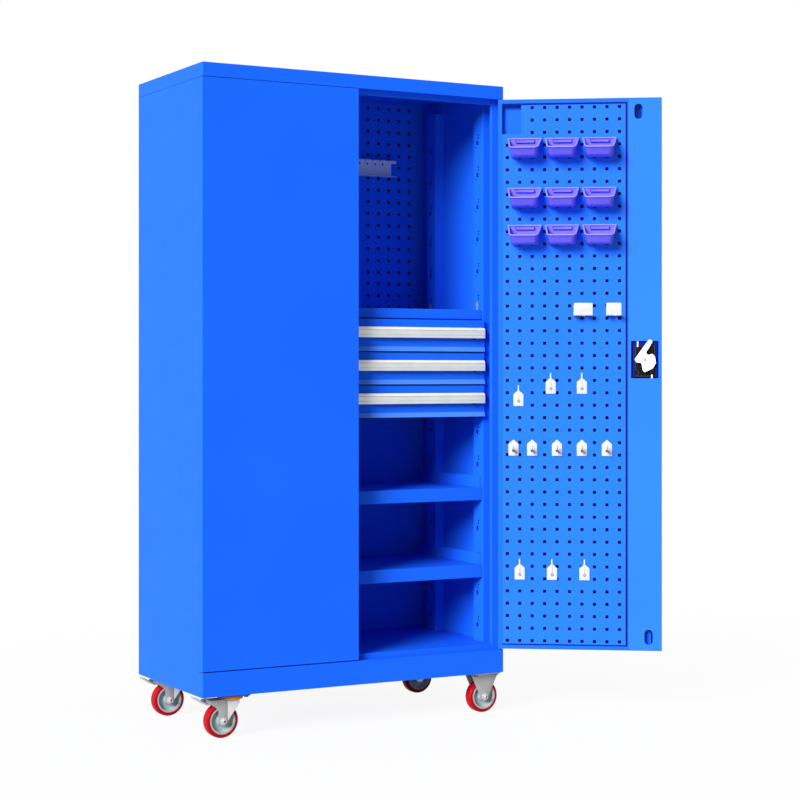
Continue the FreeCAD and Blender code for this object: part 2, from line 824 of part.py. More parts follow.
def door_skin():
    """The outer pan of a door, with narrow returns round its inner face."""
    pan = door_block(0, door_width, 0, door_thickness, door_bottom, door_top)
    long_edges = [e for e in pan.Edges if abs(e.CenterOfMass.y - front_y) < seat_gap]
    pan = pan.makeFillet(door_edge_radius, long_edges)
    cavity = door_block(door_sheet, door_width - door_sheet, door_sheet, door_thickness - door_sheet,
                        door_bottom + door_sheet, door_top - door_sheet)
    window = door_block(door_return, door_width - door_sheet, door_thickness - 2 * door_sheet,
                        door_thickness + cut_overrun, door_bottom + door_return, door_top - door_return)
    stile_space = door_block(stile_edge - seat_gap, door_width - door_sheet,
                             door_thickness - 2 * door_sheet, door_thickness + cut_overrun,
                             door_bottom + door_sheet, door_top - door_sheet)
    pan = pan.cut([cavity, window, stile_space])
    holes = []
    for z in (door_bottom, door_top):
        holes.append(bar((pivot_x, pivot_y, z - cut_overrun), (pivot_x, pivot_y, z + cut_overrun),
                         hinge_pin_radius + running_clearance))
    return pan.cut(holes)


def right_door_skin():
    """The right door's pan, with holes for the lock spindle and the rods' ends."""
    half = rod_width / 2 + rod_slot_clearance
    low_n = rod_low_n - rod_slot_clearance
    high_n = rod_high_n + rod_slot_clearance / 2
    cuts = [door_bar(lock_s, -cut_overrun, cut_overrun, lock_z, spindle_hole_radius)]
    cuts.append(door_block(upper_rod_s - half, upper_rod_s + half, low_n, high_n,
                           door_top - cut_overrun, door_top + cut_overrun))
    cuts.append(door_block(lower_rod_s - half, lower_rod_s + half, low_n, high_n,
                           door_bottom - cut_overrun, door_bottom + cut_overrun))
    return door_skin().cut(cuts)


def door_pegboard():
    """A door's perforated panel, notched at the top corner by the hinge."""
    near = door_sheet + seat_gap
    far = stile_edge - seat_gap
    low = door_bottom + door_sheet + seat_gap
    high = door_top - door_sheet - seat_gap
    notch_z = door_top - corner_notch_height
    first_z = (door_bottom + door_top - hole_pitch * (door_panel_rows - 1)) / 2
    centres = []
    for i in range(door_panel_columns):
        for k in range(door_panel_rows):
            s = door_first_column + i * hole_pitch
            z = first_z + k * hole_pitch
            if s > corner_notch_width or z < notch_z:
                centres.append((half_width - s, z))
    corners = [(near, low), (far, low), (far, high), (corner_notch_width, high),
               (corner_notch_width, notch_z), (near, notch_z)]
    face = front_y + door_panel_face - door_panel_sheet
    points = [(half_width - s, z) for s, z in corners]
    return perforated(points, on_front(face), V(0, door_panel_sheet, 0), centres)


def lock_stile():
    """The boxed upright along a door's free edge, with an oval slot near each end."""
    near = stile_edge
    far = door_width - door_sheet - seat_gap
    low = door_bottom + door_sheet + seat_gap
    high = door_top - door_sheet - seat_gap
    face_y = front_y + door_thickness
    skin_y = front_y + door_sheet
    path = ((half_width - far, face_y), (half_width - near, face_y), (half_width - near, skin_y))
    stile = folded_sheet(path, door_panel_sheet, on_plan(low), V(0, 0, high - low), turn=-1)
    cuts = []
    cuts.append(stile_slot(lock_s - upper_slot_offset, high - stile_slot_inset))
    cuts.append(stile_slot(lock_s + lower_slot_offset, low + stile_slot_inset))
    cuts.append(door_block(lock_s - lock_window_width / 2, lock_s + lock_window_width / 2,
                           door_thickness - cut_overrun, door_thickness + cut_overrun,
                           lock_z - lock_window_height / 2, lock_z + lock_window_height / 2))
    return stile.cut(cuts)


def stile_slot(s, z):
    """The cutter for one oval slot."""
    radius = stile_slot_width / 2
    half = stile_slot_height / 2 - radius
    low_n = door_thickness - cut_overrun
    high_n = door_thickness + cut_overrun
    return joined([door_bar(s, low_n, high_n, z - half, radius), door_bar(s, low_n, high_n, z + half, radius),
                   door_block(s - radius, s + radius, low_n, high_n, z - half, z + half)])


def plain_stile():
    """The left door's stile, which carries no lock."""
    near = stile_edge
    far = door_width - door_sheet - seat_gap
    low = door_bottom + door_sheet + seat_gap
    high = door_top - door_sheet - seat_gap
    path = ((half_width - far, front_y + door_thickness), (half_width - near, front_y + door_thickness),
            (half_width - near, front_y + door_sheet))
    return folded_sheet(path, door_panel_sheet, on_plan(low), V(0, 0, high - low), turn=-1)


def hinge_pins():
    """A door's two pivot pins, each on a block inside the pan."""
    pins = []
    for edge, way in ((door_top, 1), (door_bottom, -1)):
        inside = edge - way * door_sheet
        z_low, z_high = sorted((inside, inside - way * hinge_block_height))
        near = pivot_from_side - hinge_block_width / 2
        lump = door_block(near, near + hinge_block_width, door_sheet, door_sheet + hinge_block_depth,
                          z_low, z_high)
        tip = edge + way * (door_bottom_gap + hinge_pin_reach)
        pin = bar((pivot_x, pivot_y, inside), (pivot_x, pivot_y, tip), hinge_pin_radius)
        pins.append(joined([lump, pin]))
    return pins


def hinge_bushes():
    """Flanged bushes in the cap and the plinth, which the door pins turn in."""
    bushes = []
    places = ((cap_bottom, 1, door_top_gap), (plinth_top, -1, door_bottom_gap))
    for level, way, gap in places:
        flange_start = level - way * (gap - seat_gap)
        tail = level + way * (panel_sheet + bush_tail)
        flange = bar((pivot_x, pivot_y, flange_start), (pivot_x, pivot_y, level), bush_flange_radius)
        sleeve = bar((pivot_x, pivot_y, flange_start), (pivot_x, pivot_y, tail), bush_radius)
        bore = bar((pivot_x, pivot_y, flange_start - way * cut_overrun),
                   (pivot_x, pivot_y, tail + way * cut_overrun), hinge_pin_radius + running_clearance)
        bush = joined([flange, sleeve]).cut(bore)
        bushes += [bush, mirrored(bush)]
    return bushes


# Lock, rods and handle

def lock_housing():
    """The lock's black plate behind the stile window, bored for the spindle."""
    half_w = lock_plate_width / 2
    half_h = lock_plate_height / 2
    plate = door_block(lock_s - half_w, lock_s + half_w, lock_plate_face - lock_plate_depth,
                       lock_plate_face, lock_z - half_h, lock_z + half_h)
    neck = door_bar(lock_s, 0, lock_plate_face - lock_plate_depth, lock_z,
                    spindle_hole_radius - seat_gap)
    escutcheon = door_bar(lock_s, -escutcheon_thickness, 0, lock_z, escutcheon_radius)
    bore = door_bar(lock_s, -cut_overrun, lock_plate_face + cut_overrun, lock_z,
                    spindle_radius + running_clearance)
    return joined([plate, neck, escutcheon]).cut(bore)


def lock_handle():
    """The lever outside the right door, with the spindle that passes through the lock."""
    outer = -escutcheon_thickness - seat_gap
    hub = door_bar(lock_s, outer - handle_hub_height, outer, lock_z, handle_hub_radius)
    grip = door_block(lock_s - handle_length, lock_s, outer - handle_hub_height,
                      outer - handle_hub_height + handle_thickness,
                      lock_z - handle_width / 2, lock_z + handle_width / 2)
    end_edges = [e for e in grip.Edges if abs(e.tangentAt(e.FirstParameter).y) > parallel_share
                 and e.CenterOfMass.x > half_width - lock_s + handle_length / 2]
    grip = grip.makeFillet(handle_width / 2 - seat_gap, end_edges)
    spindle = door_bar(lock_s, outer - handle_hub_height / 2, cam_low_n() + cam_thickness, lock_z,
                       spindle_radius)
    return joined([hub, grip, spindle])


def cam_low_n():
    """Where the cam's plate starts, just clear of the stile."""
    return door_thickness + seat_gap


def lock_cam():
    """The cam on the spindle, with a finger arm that turns the lock from inside."""
    low = cam_low_n()
    high = low + cam_thickness
    hub = door_bar(lock_s, rod_low_n, high + cam_hub_reach, lock_z, cam_hub_radius)
    points = [(half_width - lock_s - across, lock_z + up) for across, up, arm in cam_corner_shares]
    radii = [cam_arm_rounding if arm else cam_rounding for across, up, arm in cam_corner_shares]
    plate = prism(points, on_front(front_y + low), V(0, cam_thickness, 0), radii)
    cam = joined([hub, plate])
    return cam.cut(door_bar(lock_s, -cut_overrun, high, lock_z, spindle_radius + running_clearance))


def upper_lock_rod():
    """The flat rod from the lock to the door's top edge."""
    return door_block(upper_rod_s - rod_width / 2, upper_rod_s + rod_width / 2, rod_low_n, rod_high_n,
                      lock_z + rod_from_pivot, door_top - rod_end_inset)


def lower_lock_rod():
    """The flat rod from the lock to the door's bottom edge."""
    return door_block(lower_rod_s - rod_width / 2, lower_rod_s + rod_width / 2, rod_low_n, rod_high_n,
                      door_bottom + rod_end_inset, lock_z - rod_from_pivot)


def lock_rod_guides():
    """Four guides that hold the rods behind the stile."""
    top_reach = (door_top - lock_z) / 2
    low_reach = (lock_z - door_bottom) / 2
    end_inset = stile_slot_inset + stile_slot_height
    places = ((upper_rod_s, lock_z + top_reach), (upper_rod_s, door_top - end_inset),
              (lower_rod_s, lock_z - low_reach), (lower_rod_s, door_bottom + end_inset))
    guides = []
    for s, z in places:
        high_n = door_thickness - door_panel_sheet
        guide = door_block(s - rod_guide_width / 2, s + rod_guide_width / 2, high_n - rod_guide_depth,
                           high_n, z - rod_guide_height / 2, z + rod_guide_height / 2)
        half = rod_width / 2 + rod_guide_clearance
        slot = door_block(s - half, s + half, rod_low_n - rod_guide_clearance / 2,
                          rod_high_n + rod_guide_clearance, z - rod_guide_height, z + rod_guide_height)
        guides.append(guide.cut(slot))
    return guides


# Things that hang on the right door's panel

def panel_row(share):
    """The height of a row of holes, counted from the lowest."""
    first_z = (door_bottom + door_top - hole_pitch * (door_panel_rows - 1)) / 2
    return first_z + share * hole_pitch


def tool_hooks():
    """Pentagonal plates with an upturned pin, for hanging tools."""
    hooks = []
    kinds = ((long_hook_shares, long_hook_reach, hook_tip_rise),
             (short_hook_shares, short_hook_reach, tall_tip_rise))
    for shares, reach, rise in kinds:
        for column, row in shares:
            hooks.append(tool_hook(door_first_column + column * hole_pitch,
                                   panel_row(row) + hook_top_above_hole, reach, rise))
    return hooks


def tool_hook(s, top, reach, rise):
    """One hook, from the middle and the top of its plate, its reach and its tip's rise."""
    x = half_width - s
    half = hook_plate_width / 2
    low = top - hook_plate_height
    face = front_y + door_panel_face
    points = ((x - half, low), (x + half, low), (x + half, top - hook_shoulder_drop), (x, top),
              (x - half, top - hook_shoulder_drop))
    radii = [inner_bend, inner_bend, 2 * inner_bend, 2 * inner_bend, 2 * inner_bend]
    plate = prism(points, on_front(face), V(0, hook_plate_thickness, 0), radii)
    pin_z = top - hook_pin_drop
    tip_y = face + reach - hook_pin_radius
    pin = bar((x, face, pin_z), (x, tip_y, pin_z), hook_pin_radius)
    tip = bar((x, tip_y, pin_z), (x, tip_y, pin_z + rise), hook_pin_radius)
    elbow = Part.makeSphere(hook_pin_radius, V(x, tip_y, pin_z))
    return joined([plate, pin, elbow, tip])


def plier_racks():
    """Small racks with open fingers for pliers."""
    racks = []
    for column, row in plier_rack_shares:
        s = door_first_column + column * hole_pitch
        x = half_width - s
        face = front_y + door_panel_face
        top = panel_row(row) + hook_top_above_hole
        half = plier_rack_width / 2
        low = top - plier_rack_height
        front = face + plier_rack_reach
        back = block((x - half, face, low), (x + half, face + plier_rack_sheet, top))
        tray = block((x - half, face, low), (x + half, front, low + plier_rack_sheet))
        gap = block((x - plier_rack_finger / 2, face + plier_rack_finger, low - cut_overrun),
                    (x + plier_rack_finger / 2, front + cut_overrun, top))
        stop = block((x - half, front - plier_rack_sheet, low), (x + half, front, low + plier_rack_finger))
        racks.append(joined([back, tray, stop]).cut(gap))
    return racks


def bin_shell(inset, low, high):
    """The tapered form of a bin, drawn in on all sides by an inset."""
    base_back = bin_base_back_width / 2 - inset
    base_front = bin_base_front_width / 2 - inset
    top_back = bin_back_width / 2 - inset
    top_front = bin_front_width / 2 - inset
    base = ((-base_back, inset), (base_back, inset), (base_front, bin_base_depth - inset),
            (-base_front, bin_base_depth - inset))
    top = ((-top_back, inset), (top_back, inset), (top_front, bin_top_depth - inset),
           (-top_front, bin_top_depth - inset))
    wires = [outline(base, [0] * len(base), on_plan(low)),
             outline(top, [0] * len(top), on_plan(high))]
    return Part.makeLoft(wires, True, True)


def parts_bin():
    """A hopper-fronted bin with its back at zero depth and its base at zero height."""
    outer = bin_shell(0, 0, bin_height)
    inner = bin_shell(bin_wall, bin_wall, bin_height + bin_wall)
    ledge = block((-bin_ledge_width / 2, bin_wall, bin_height - bin_ledge_drop - bin_wall),
                  (bin_ledge_width / 2, bin_ledge_depth, bin_height - bin_ledge_drop))
    slope = ((-cut_overrun, bin_height + cut_overrun), (bin_ledge_depth, bin_height),
             (bin_top_depth + cut_overrun, bin_front_height),
             (bin_top_depth + cut_overrun, bin_height + cut_overrun))
    above_rim = prism(slope, on_side(-bin_back_width), V(2 * bin_back_width, 0, 0))
    return joined([outer.cut(inner).cut(above_rim), ledge])


def bin_row(row):
    """The bins that hang side by side from one row of holes."""
    first_z = (door_bottom + door_top + hole_pitch * (door_panel_rows - 1)) / 2
    top = first_z - bin_row_shares[row] * hole_pitch + bin_hook_offset
    bins = []
    for i in range(bin_columns):
        shape = parts_bin()
        s = bin_first_column + i * bin_column_pitch
        shape.translate(V(half_width - s, front_y + door_panel_face, top - bin_height))
        bins.append(swung(shape))
    return bins


# Casters

def wheel_tyre(x, y):
    """The soft tread of a wheel."""
    half = wheel_width / 2
    inner = wheel_radius - tread_depth
    flat = half - tread_rounding
    edge = wheel_radius - tread_rounding
    nick = tread_rounding / 4
    profile = [(inner, -half), (edge, -half), (wheel_radius - nick, nick - half), (wheel_radius, -flat),
               (wheel_radius, flat), (wheel_radius - nick, half - nick), (edge, half), (inner, half)]
    return turned_bar(profile, (x, y, wheel_radius))


def wheel_hub(x, y):
    """The dished hub of a wheel, bored for its axle."""
    half = wheel_width / 2
    rim = wheel_radius - tread_depth - running_clearance
    web = web_thickness / 2
    bore = axle_radius + running_clearance
    boss = hub_length / 2
    lip = rim - rim_lip
    profile = [(bore, -boss), (hub_radius, -boss), (hub_radius, -web), (lip, -web), (lip, -half),
               (rim, -half), (rim, half), (lip, half), (lip, web), (hub_radius, web),
               (hub_radius, boss), (bore, boss)]
    return turned_bar(profile, (x, y, wheel_radius))


def axle_bolt(x, y):
    """A wheel's axle bolt, with its head and nut outside the fork."""
    reach = fork_outer + axle_overhang
    nut = fork_outer + axle_nut_height
    shaft = bar((x, y - reach, wheel_radius), (x, y + reach, wheel_radius), axle_radius)
    head = bar((x, y - nut, wheel_radius), (x, y - fork_outer, wheel_radius), axle_nut_radius)
    lock_nut = bar((x, y + fork_outer, wheel_radius), (x, y + nut, wheel_radius), axle_nut_radius)
    return joined([shaft, head, lock_nut])


def swivel_leg(x, y):
    """One cheek of a swivel fork, with the arm that carries the brake."""
    trail = swivel_trail
    axle = wheel_radius
    top = crown_bottom + crown_height / 2
    tail = x + trail - 2 * crown_radius - trail / 2
    nose = x + trail + crown_radius / 2
    side = leg_end_radius
    foot = side - seat_gap
    points = [(x - side, axle), (x - foot, axle - foot), (x + foot, axle - foot), (x + side, axle),
              (nose, top - crown_height), (nose, top), (tail, top), (tail, top - crown_height / 2),
              (x - side - crown_height, top - 2 * crown_height), (x - side, top - crown_radius)]
    end = side - 2 * seat_gap
    radii = [0, end, end, 0, 0, 0, 0, 0, crown_height / 2, crown_height / 2]
    return prism(points, on_front(y), V(0, fork_sheet, 0), radii)


def swivel_fork(y):
    """A swivel fork: a crown and two cheeks, drilled for the axle, king pin and brake."""
    x = swivel_wheel_x
    crown = bar((swivel_axis_x, y, crown_bottom), (swivel_axis_x, y, crown_top), crown_radius)
    near = swivel_leg(x, y - fork_outer)
    far = swivel_leg(x, y + fork_inner_gap / 2)
    fork = joined([crown, near, far])
    room = block((x - wheel_radius - crown_radius, y - fork_inner_gap / 2, 0),
                 (x + wheel_radius + crown_radius, y + fork_inner_gap / 2, crown_bottom))
    near_y = y - fork_outer - cut_overrun
    far_y = y + fork_outer + cut_overrun
    axle_hole = bar((x, near_y, wheel_radius), (x, far_y, wheel_radius), axle_radius + running_clearance)
    king_hole = bar((swivel_axis_x, y, crown_bottom - cut_overrun),
                    (swivel_axis_x, y, crown_top + cut_overrun), king_pin_radius + running_clearance)
    pedal_x, pedal_z = pedal_pivot()
    pedal_hole = bar((pedal_x, near_y, pedal_z), (pedal_x, far_y, pedal_z),
                     pedal_pin_radius + running_clearance)
    return [fork.cut([room, axle_hole, king_hole, pedal_hole]), axle_bolt(x, y)]


def pedal_pivot():
    """The brake pedal's pin, in the fork's arm behind the wheel."""
    return swivel_axis_x - 2 * crown_radius, crown_bottom + crown_height / 4


def brake_pedal(y):
    """A foot pedal on its pin, which presses a shoe onto the tread."""
    pedal_x, pedal_z = pedal_pivot()
    half = pedal_width / 2
    low = pedal_z - pedal_pin_radius
    high = crown_top - pedal_thickness
    tip_x = swivel_axis_x - pedal_reach
    path = ((pedal_x + 2 * pedal_pin_radius, low), (pedal_x - 2 * pedal_pin_radius, low),
            (tip_x + pedal_step, high), (tip_x, high))
    plate = folded_sheet(path, pedal_thickness, on_front(y - half), V(0, pedal_width, 0), turn=-1)
    pin = bar((pedal_x, y - fork_outer, pedal_z), (pedal_x, y + fork_outer, pedal_z), pedal_pin_radius)
    return joined([plate, pin])


def swivel_top_plates():
    """The mounting plates of the swivel casters, each with its spigot and king pin."""
    plates = []
    for y in (-caster_from_middle, caster_from_middle):
        plate = caster_plate(swivel_axis_x, y)
        foot = (swivel_axis_x, y, plate_bottom)
        head_top = (swivel_axis_x, y, crown_bottom - seat_gap)
        head_low = (swivel_axis_x, y, crown_bottom - seat_gap - king_pin_head_height)
        spigot = bar((swivel_axis_x, y, crown_top + seat_gap), foot, spigot_radius)
        pin = bar(head_low, foot, king_pin_radius)
        head = bar(head_low, head_top, king_pin_head_radius)
        plates.append(joined([plate, spigot, pin, head]))
    return plates


def caster_plate(x, y):
    """A drilled mounting plate under the body."""
    plate = block((x - plate_length / 2, y - plate_width / 2, plate_bottom),
                  (x + plate_length / 2, y + plate_width / 2, body_bottom))
    corners = [e for e in plate.Edges if abs(e.tangentAt(e.FirstParameter).z) > parallel_share]
    plate = plate.makeFillet(2 * corner_bend, corners)
    holes = [bar((x + a * plate_bolt_x, y + b * plate_bolt_y, plate_bottom - cut_overrun),
                 (x + a * plate_bolt_x, y + b * plate_bolt_y, body_bottom + cut_overrun), bolt_hole_radius)
             for a in (-1, 1) for b in (-1, 1)]
    return plate.cut(holes)


def swivel_dust_rings():
    """The dust rings round the swivel bearings."""
    rings = []
    for y in (-caster_from_middle, caster_from_middle):
        low = (swivel_axis_x, y, crown_top + seat_gap)
        high = (swivel_axis_x, y, plate_bottom)
        rings.append(bar(low, high, dust_ring_radius).cut(bar(low, high, spigot_radius + seat_gap)))
    return rings


def rigid_forks():
    """The fixed forks on the right, each with its axle bolt."""
    pieces = []
    for y in (-caster_from_middle, caster_from_middle):
        x = rigid_wheel_x
        plate = caster_plate(x, y)
        half = plate_length / 2
        side = leg_end_radius
        foot = side - seat_gap
        points = [(x - half, plate_bottom), (x - side, wheel_radius), (x - foot, wheel_radius - foot),
                  (x + foot, wheel_radius - foot), (x + side, wheel_radius), (x + half, plate_bottom)]
        end = side - 2 * seat_gap
        legs = [prism(points, on_front(y + offset), V(0, fork_sheet, 0), [0, 0, end, end, 0, 0])
                for offset in (-fork_outer, fork_inner_gap / 2)]
        hole = bar((x, y - fork_outer - cut_overrun, wheel_radius),
                   (x, y + fork_outer + cut_overrun, wheel_radius), axle_radius + running_clearance)
        pieces += [joined([plate] + legs).cut(hole), axle_bolt(x, y)]
    return pieces


def caster_bolts():
    """The bolts that hold all four casters to the channels."""
    bolts = []
    for plate_x in (swivel_axis_x, rigid_wheel_x):
        for x, y in bolt_places(plate_x):
            nut_low = body_bottom + caster_channel_sheet
            shank = bar((x, y, plate_bottom), (x, y, nut_low + bolt_head_height), bolt_radius)
            head = bar((x, y, plate_bottom - bolt_head_height), (x, y, plate_bottom), bolt_head_radius)
            nut = bar((x, y, nut_low), (x, y, nut_low + bolt_head_height), bolt_head_radius)
            bolts.append(joined([head, shank, nut]))
    return bolts


def save_body():
    """Writes the fixed body of the cabinet and what it carries."""
    save("top_cover", [top_cover()])
    save("front_top_rail", [front_top_rail()])
    side = right_side_panel()
    save("right_side_panel", [side])
    save("left_side_panel", [mirrored(side)])
    save("back_panel", [back_panel()])
    save("base_frame", base_frame())
    save("floor_panel", [floor_panel()])
    save("slotted_uprights", slotted_uprights())
    save("rear_pegboard", [rear_pegboard()])
    save("screwdriver_rack", [screwdriver_rack()])
    for name, rise in (("lower_shelf", lower_shelf_rise), ("upper_shelf", upper_shelf_rise)):
        save(name, [shelf(body_bottom + rise, shelf_lip_drop, shelf_lip_return, shelf_side_rise)])
    save("drawer_bay_shelf", [shelf(drawer_shelf_top, drawer_shelf_lip_drop, drawer_shelf_lip_return, 0)])
    save("shelf_clips", shelf_clips())
    save("hinge_bushes", hinge_bushes())


def save_drawers():
    """Writes the drawer case, its slides and the drawers."""
    save("drawer_housing", [drawer_housing()])
    save("drawer_outer_rails", drawer_outer_rails())
    for number in range(1, drawer_count + 1):
        save("drawer_%d_box" % number, drawer_box(number))
        save("drawer_%d_front" % number, [drawer_front(number)])
        save("drawer_%d_handle" % number, drawer_handle(number))


def save_doors():
    """Writes both doors, the right one swung open with all that hangs on it."""
    save("left_door_skin", [mirrored(door_skin())])
    panel = door_pegboard()
    save("left_door_pegboard", [mirrored(panel)])
    save("left_door_stile", [mirrored(plain_stile())])
    pins = hinge_pins()
    save("left_door_hinge_pins", [mirrored(pin) for pin in pins])
    save("right_door_skin", [swung(right_door_skin())])
    save("right_door_pegboard", [swung(panel)])
    save("right_door_lock_stile", [swung(piece) for piece in [lock_stile()] + lock_rod_guides()])
    save("right_door_hinge_pins", [swung(pin) for pin in pins])
    save("lock_housing", [swung(lock_housing())])
    save("lock_handle", [swung(lock_handle())])
    save("lock_cam", [swung(lock_cam())])
    save("upper_lock_rod", [swung(upper_lock_rod())])
    save("lower_lock_rod", [swung(lower_lock_rod())])
    save("tool_hooks", [swung(hook) for hook in tool_hooks()])
    save("plier_racks", [swung(rack) for rack in plier_racks()])
    for row in bin_row_shares:
        save("bins_%s_row" % row, bin_row(row))


def save_casters():
    """Writes the two swivel casters, the two rigid ones and their bolts."""
    save("swivel_top_plates", swivel_top_plates())
    save("swivel_dust_rings", swivel_dust_rings())
    save("rigid_forks", rigid_forks())
    save("caster_bolts", caster_bolts())
    for end, y in (("front", -caster_from_middle), ("rear", caster_from_middle)):
        save(end + "_left_fork", swivel_fork(y))
        save(end + "_left_pedal", [brake_pedal(y)])
        for side, x in (("left", swivel_wheel_x), ("right", rigid_wheel_x)):
            save("%s_%s_tyre" % (end, side), [wheel_tyre(x, y)])
            save("%s_%s_hub" % (end, side), [wheel_hub(x, y)])


os.makedirs("parts", exist_ok=True)
save_body()
save_drawers()
save_doors()
save_casters()
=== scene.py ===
"""A steel tool cabinet on casters: its finishes, its fine pieces and the studio round it."""

import json
import logging
import math
from contextlib import contextmanager
from dataclasses import dataclass
from enum import Enum
from functools import cache
from typing import Callable, Iterable, Iterator, Sequence

import bmesh
import bpy
from bpy.types import NodeSocket, Object
from mathutils import Matrix, Vector

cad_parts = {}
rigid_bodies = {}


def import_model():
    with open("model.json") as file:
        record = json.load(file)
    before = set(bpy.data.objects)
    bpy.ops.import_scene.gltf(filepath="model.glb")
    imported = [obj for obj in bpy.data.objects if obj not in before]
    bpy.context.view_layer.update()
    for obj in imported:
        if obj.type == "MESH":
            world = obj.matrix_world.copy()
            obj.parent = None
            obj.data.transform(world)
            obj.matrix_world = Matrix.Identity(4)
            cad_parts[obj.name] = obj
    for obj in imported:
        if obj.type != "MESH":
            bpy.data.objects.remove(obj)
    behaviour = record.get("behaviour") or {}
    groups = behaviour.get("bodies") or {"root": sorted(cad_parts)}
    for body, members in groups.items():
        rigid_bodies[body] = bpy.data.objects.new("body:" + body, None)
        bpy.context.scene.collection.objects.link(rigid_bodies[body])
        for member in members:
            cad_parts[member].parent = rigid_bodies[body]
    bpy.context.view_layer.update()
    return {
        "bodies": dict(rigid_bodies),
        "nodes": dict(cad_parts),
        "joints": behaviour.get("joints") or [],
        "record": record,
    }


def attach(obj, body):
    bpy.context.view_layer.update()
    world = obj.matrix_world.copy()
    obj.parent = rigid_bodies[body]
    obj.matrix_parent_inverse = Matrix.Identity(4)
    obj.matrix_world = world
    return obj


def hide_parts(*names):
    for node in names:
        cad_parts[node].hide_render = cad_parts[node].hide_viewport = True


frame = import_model()
LOG = logging.getLogger("cabinet")

Colour = tuple[float, float, float]
Point = tuple[float, float, float]
Pair = tuple[float, float]
Place = Callable[[float, float], Point]


class Body(str, Enum):
    """The moving bodies that pieces ride on, beside the drawers and the casters' parts."""

    CABINET = "cabinet"
    LEFT_DOOR = "left_door"
    RIGHT_DOOR = "right_door"
    LOCK = "lock"
    UPPER_ROD = "upper_rod"
    LOWER_ROD = "lower_rod"


class Slot(str, Enum):
    """The record's material slots, named beside each modelled piece."""

    BLUE = "blue_paint"
    WHITE = "white_coat"
    ZINC = "zinc_steel"
    ALUMINIUM = "satin_aluminium"
    BLACK = "black_plastic"
    VIOLET = "violet_plastic"
    RED = "red_tread"
    HUB = "grey_hub"
    ORANGE = "orange_ring"


# The right door's space


@dataclass(frozen=True)
class DoorSpace:
    """Places on the right door while shut: across from its hinge edge, inwards from its face, and up."""

    half_width: float = 0.5
    front: float = -0.25
    pivot: Pair = (0.494, -0.241)
    swing: float = 145.0
    inner_face: float = 0.0228
    first_hole: Pair = (0.0285, 0.22375)
    pitch: float = 0.038
    above_hole: float = 0.009
    bodies: Sequence[Body] = (Body.RIGHT_DOOR, Body.LOCK, Body.UPPER_ROD, Body.LOWER_ROD)

    def open_way(self, swing: float) -> Matrix:
        """The turn about the hinge line that takes a piece from the shut door to a swing in degrees."""
        there = Matrix.Translation((*self.pivot, 0))
        back = Matrix.Translation((-self.pivot[0], -self.pivot[1], 0))
        return there @ Matrix.Rotation(math.radians(swing), 4, "Z") @ back

    def at(self, across: float, inwards: float, height: float) -> Point:
        """A place on the shut door."""
        return (self.half_width - across, self.front + inwards, height)

    def layer(self, inwards: float, across: float = 0.0, height: float = 0.0) -> Place:
        """Where an outline lies on the shut door.

        Args:
            inwards: its depth from the door's face.
            across: how far from the hinge edge its origin is.
            height: how high its origin is.

        Returns:
            The place of each of its points.
        """
        return lambda a, u: self.at(across + a, inwards, height + u)

    def hung(self, column: float, row: float) -> Pair:
        """How far across and how high the top of a fitting is that hangs in this hole of the panel."""
        return (self.first_hole[0] + column * self.pitch,
                self.first_hole[1] + row * self.pitch + self.above_hole)


DOOR = DoorSpace()


# Finishes


class Nodes:
    """A node tree, built node by node."""

    def __init__(self, owner: bpy.types.Material | bpy.types.World) -> None:
        """Empties the tree of a material or a world."""
        owner.use_nodes = True
        self.tree = owner.node_tree
        self.tree.nodes.clear()

    def add(self, kind: str, feeds: dict[int | str, object] | None = None,
            **settings: object) -> bpy.types.Node:
        """Adds a node.

        Args:
            kind: its type.
            feeds: for each input, by name or number, a value or the output that it is joined to.
            settings: its own properties.

        Returns:
            The node.
        """
        node = self.tree.nodes.new(kind)
        for key, value in settings.items():
            setattr(node, key, value)
        for key, value in (feeds or {}).items():
            self.feed(node.inputs[key], value)
        return node

    def feed(self, target: NodeSocket, value: object) -> None:
        """Gives an input a value, or joins it to another node's output."""
        if isinstance(value, NodeSocket):
            self.tree.links.new(value, target)
        elif target.type == "RGBA":
            target.default_value = (*value, 1)
        else:
            target.default_value = value

    def reckon(self, operation: str, *terms: object) -> NodeSocket:
        """The result of an operation on numbers and outputs."""
        return self.add("ShaderNodeMath", dict(enumerate(terms)), operation=operation).outputs[0]

    def blend(self, factor: NodeSocket, first: NodeSocket, second: NodeSocket) -> NodeSocket:
        """A shader between two others: the first where the factor is nought, the second where it is one."""
        return self.add("ShaderNodeMixShader", {0: factor, 1: first, 2: second}).outputs[0]

    def seen(self) -> NodeSocket:
        """One where the camera, a reflection or a clear piece looks, and nought for other light."""
        ways = self.add("ShaderNodeLightPath").outputs
        most = self.reckon("MAXIMUM", ways["Is Camera Ray"], ways["Is Glossy Ray"])
        return self.reckon("MAXIMUM", most, ways["Is Transmission Ray"])


@dataclass(frozen=True)
class ShadedHollow:
    """A box inside which sheet metal is painted near black: painted shade for a cavity seen through a peg
    panel's holes.
    """

    low: Point
    high: Point
    turn: float = 0.0
    painted_shade: Colour = (0.003, 0.004, 0.012)


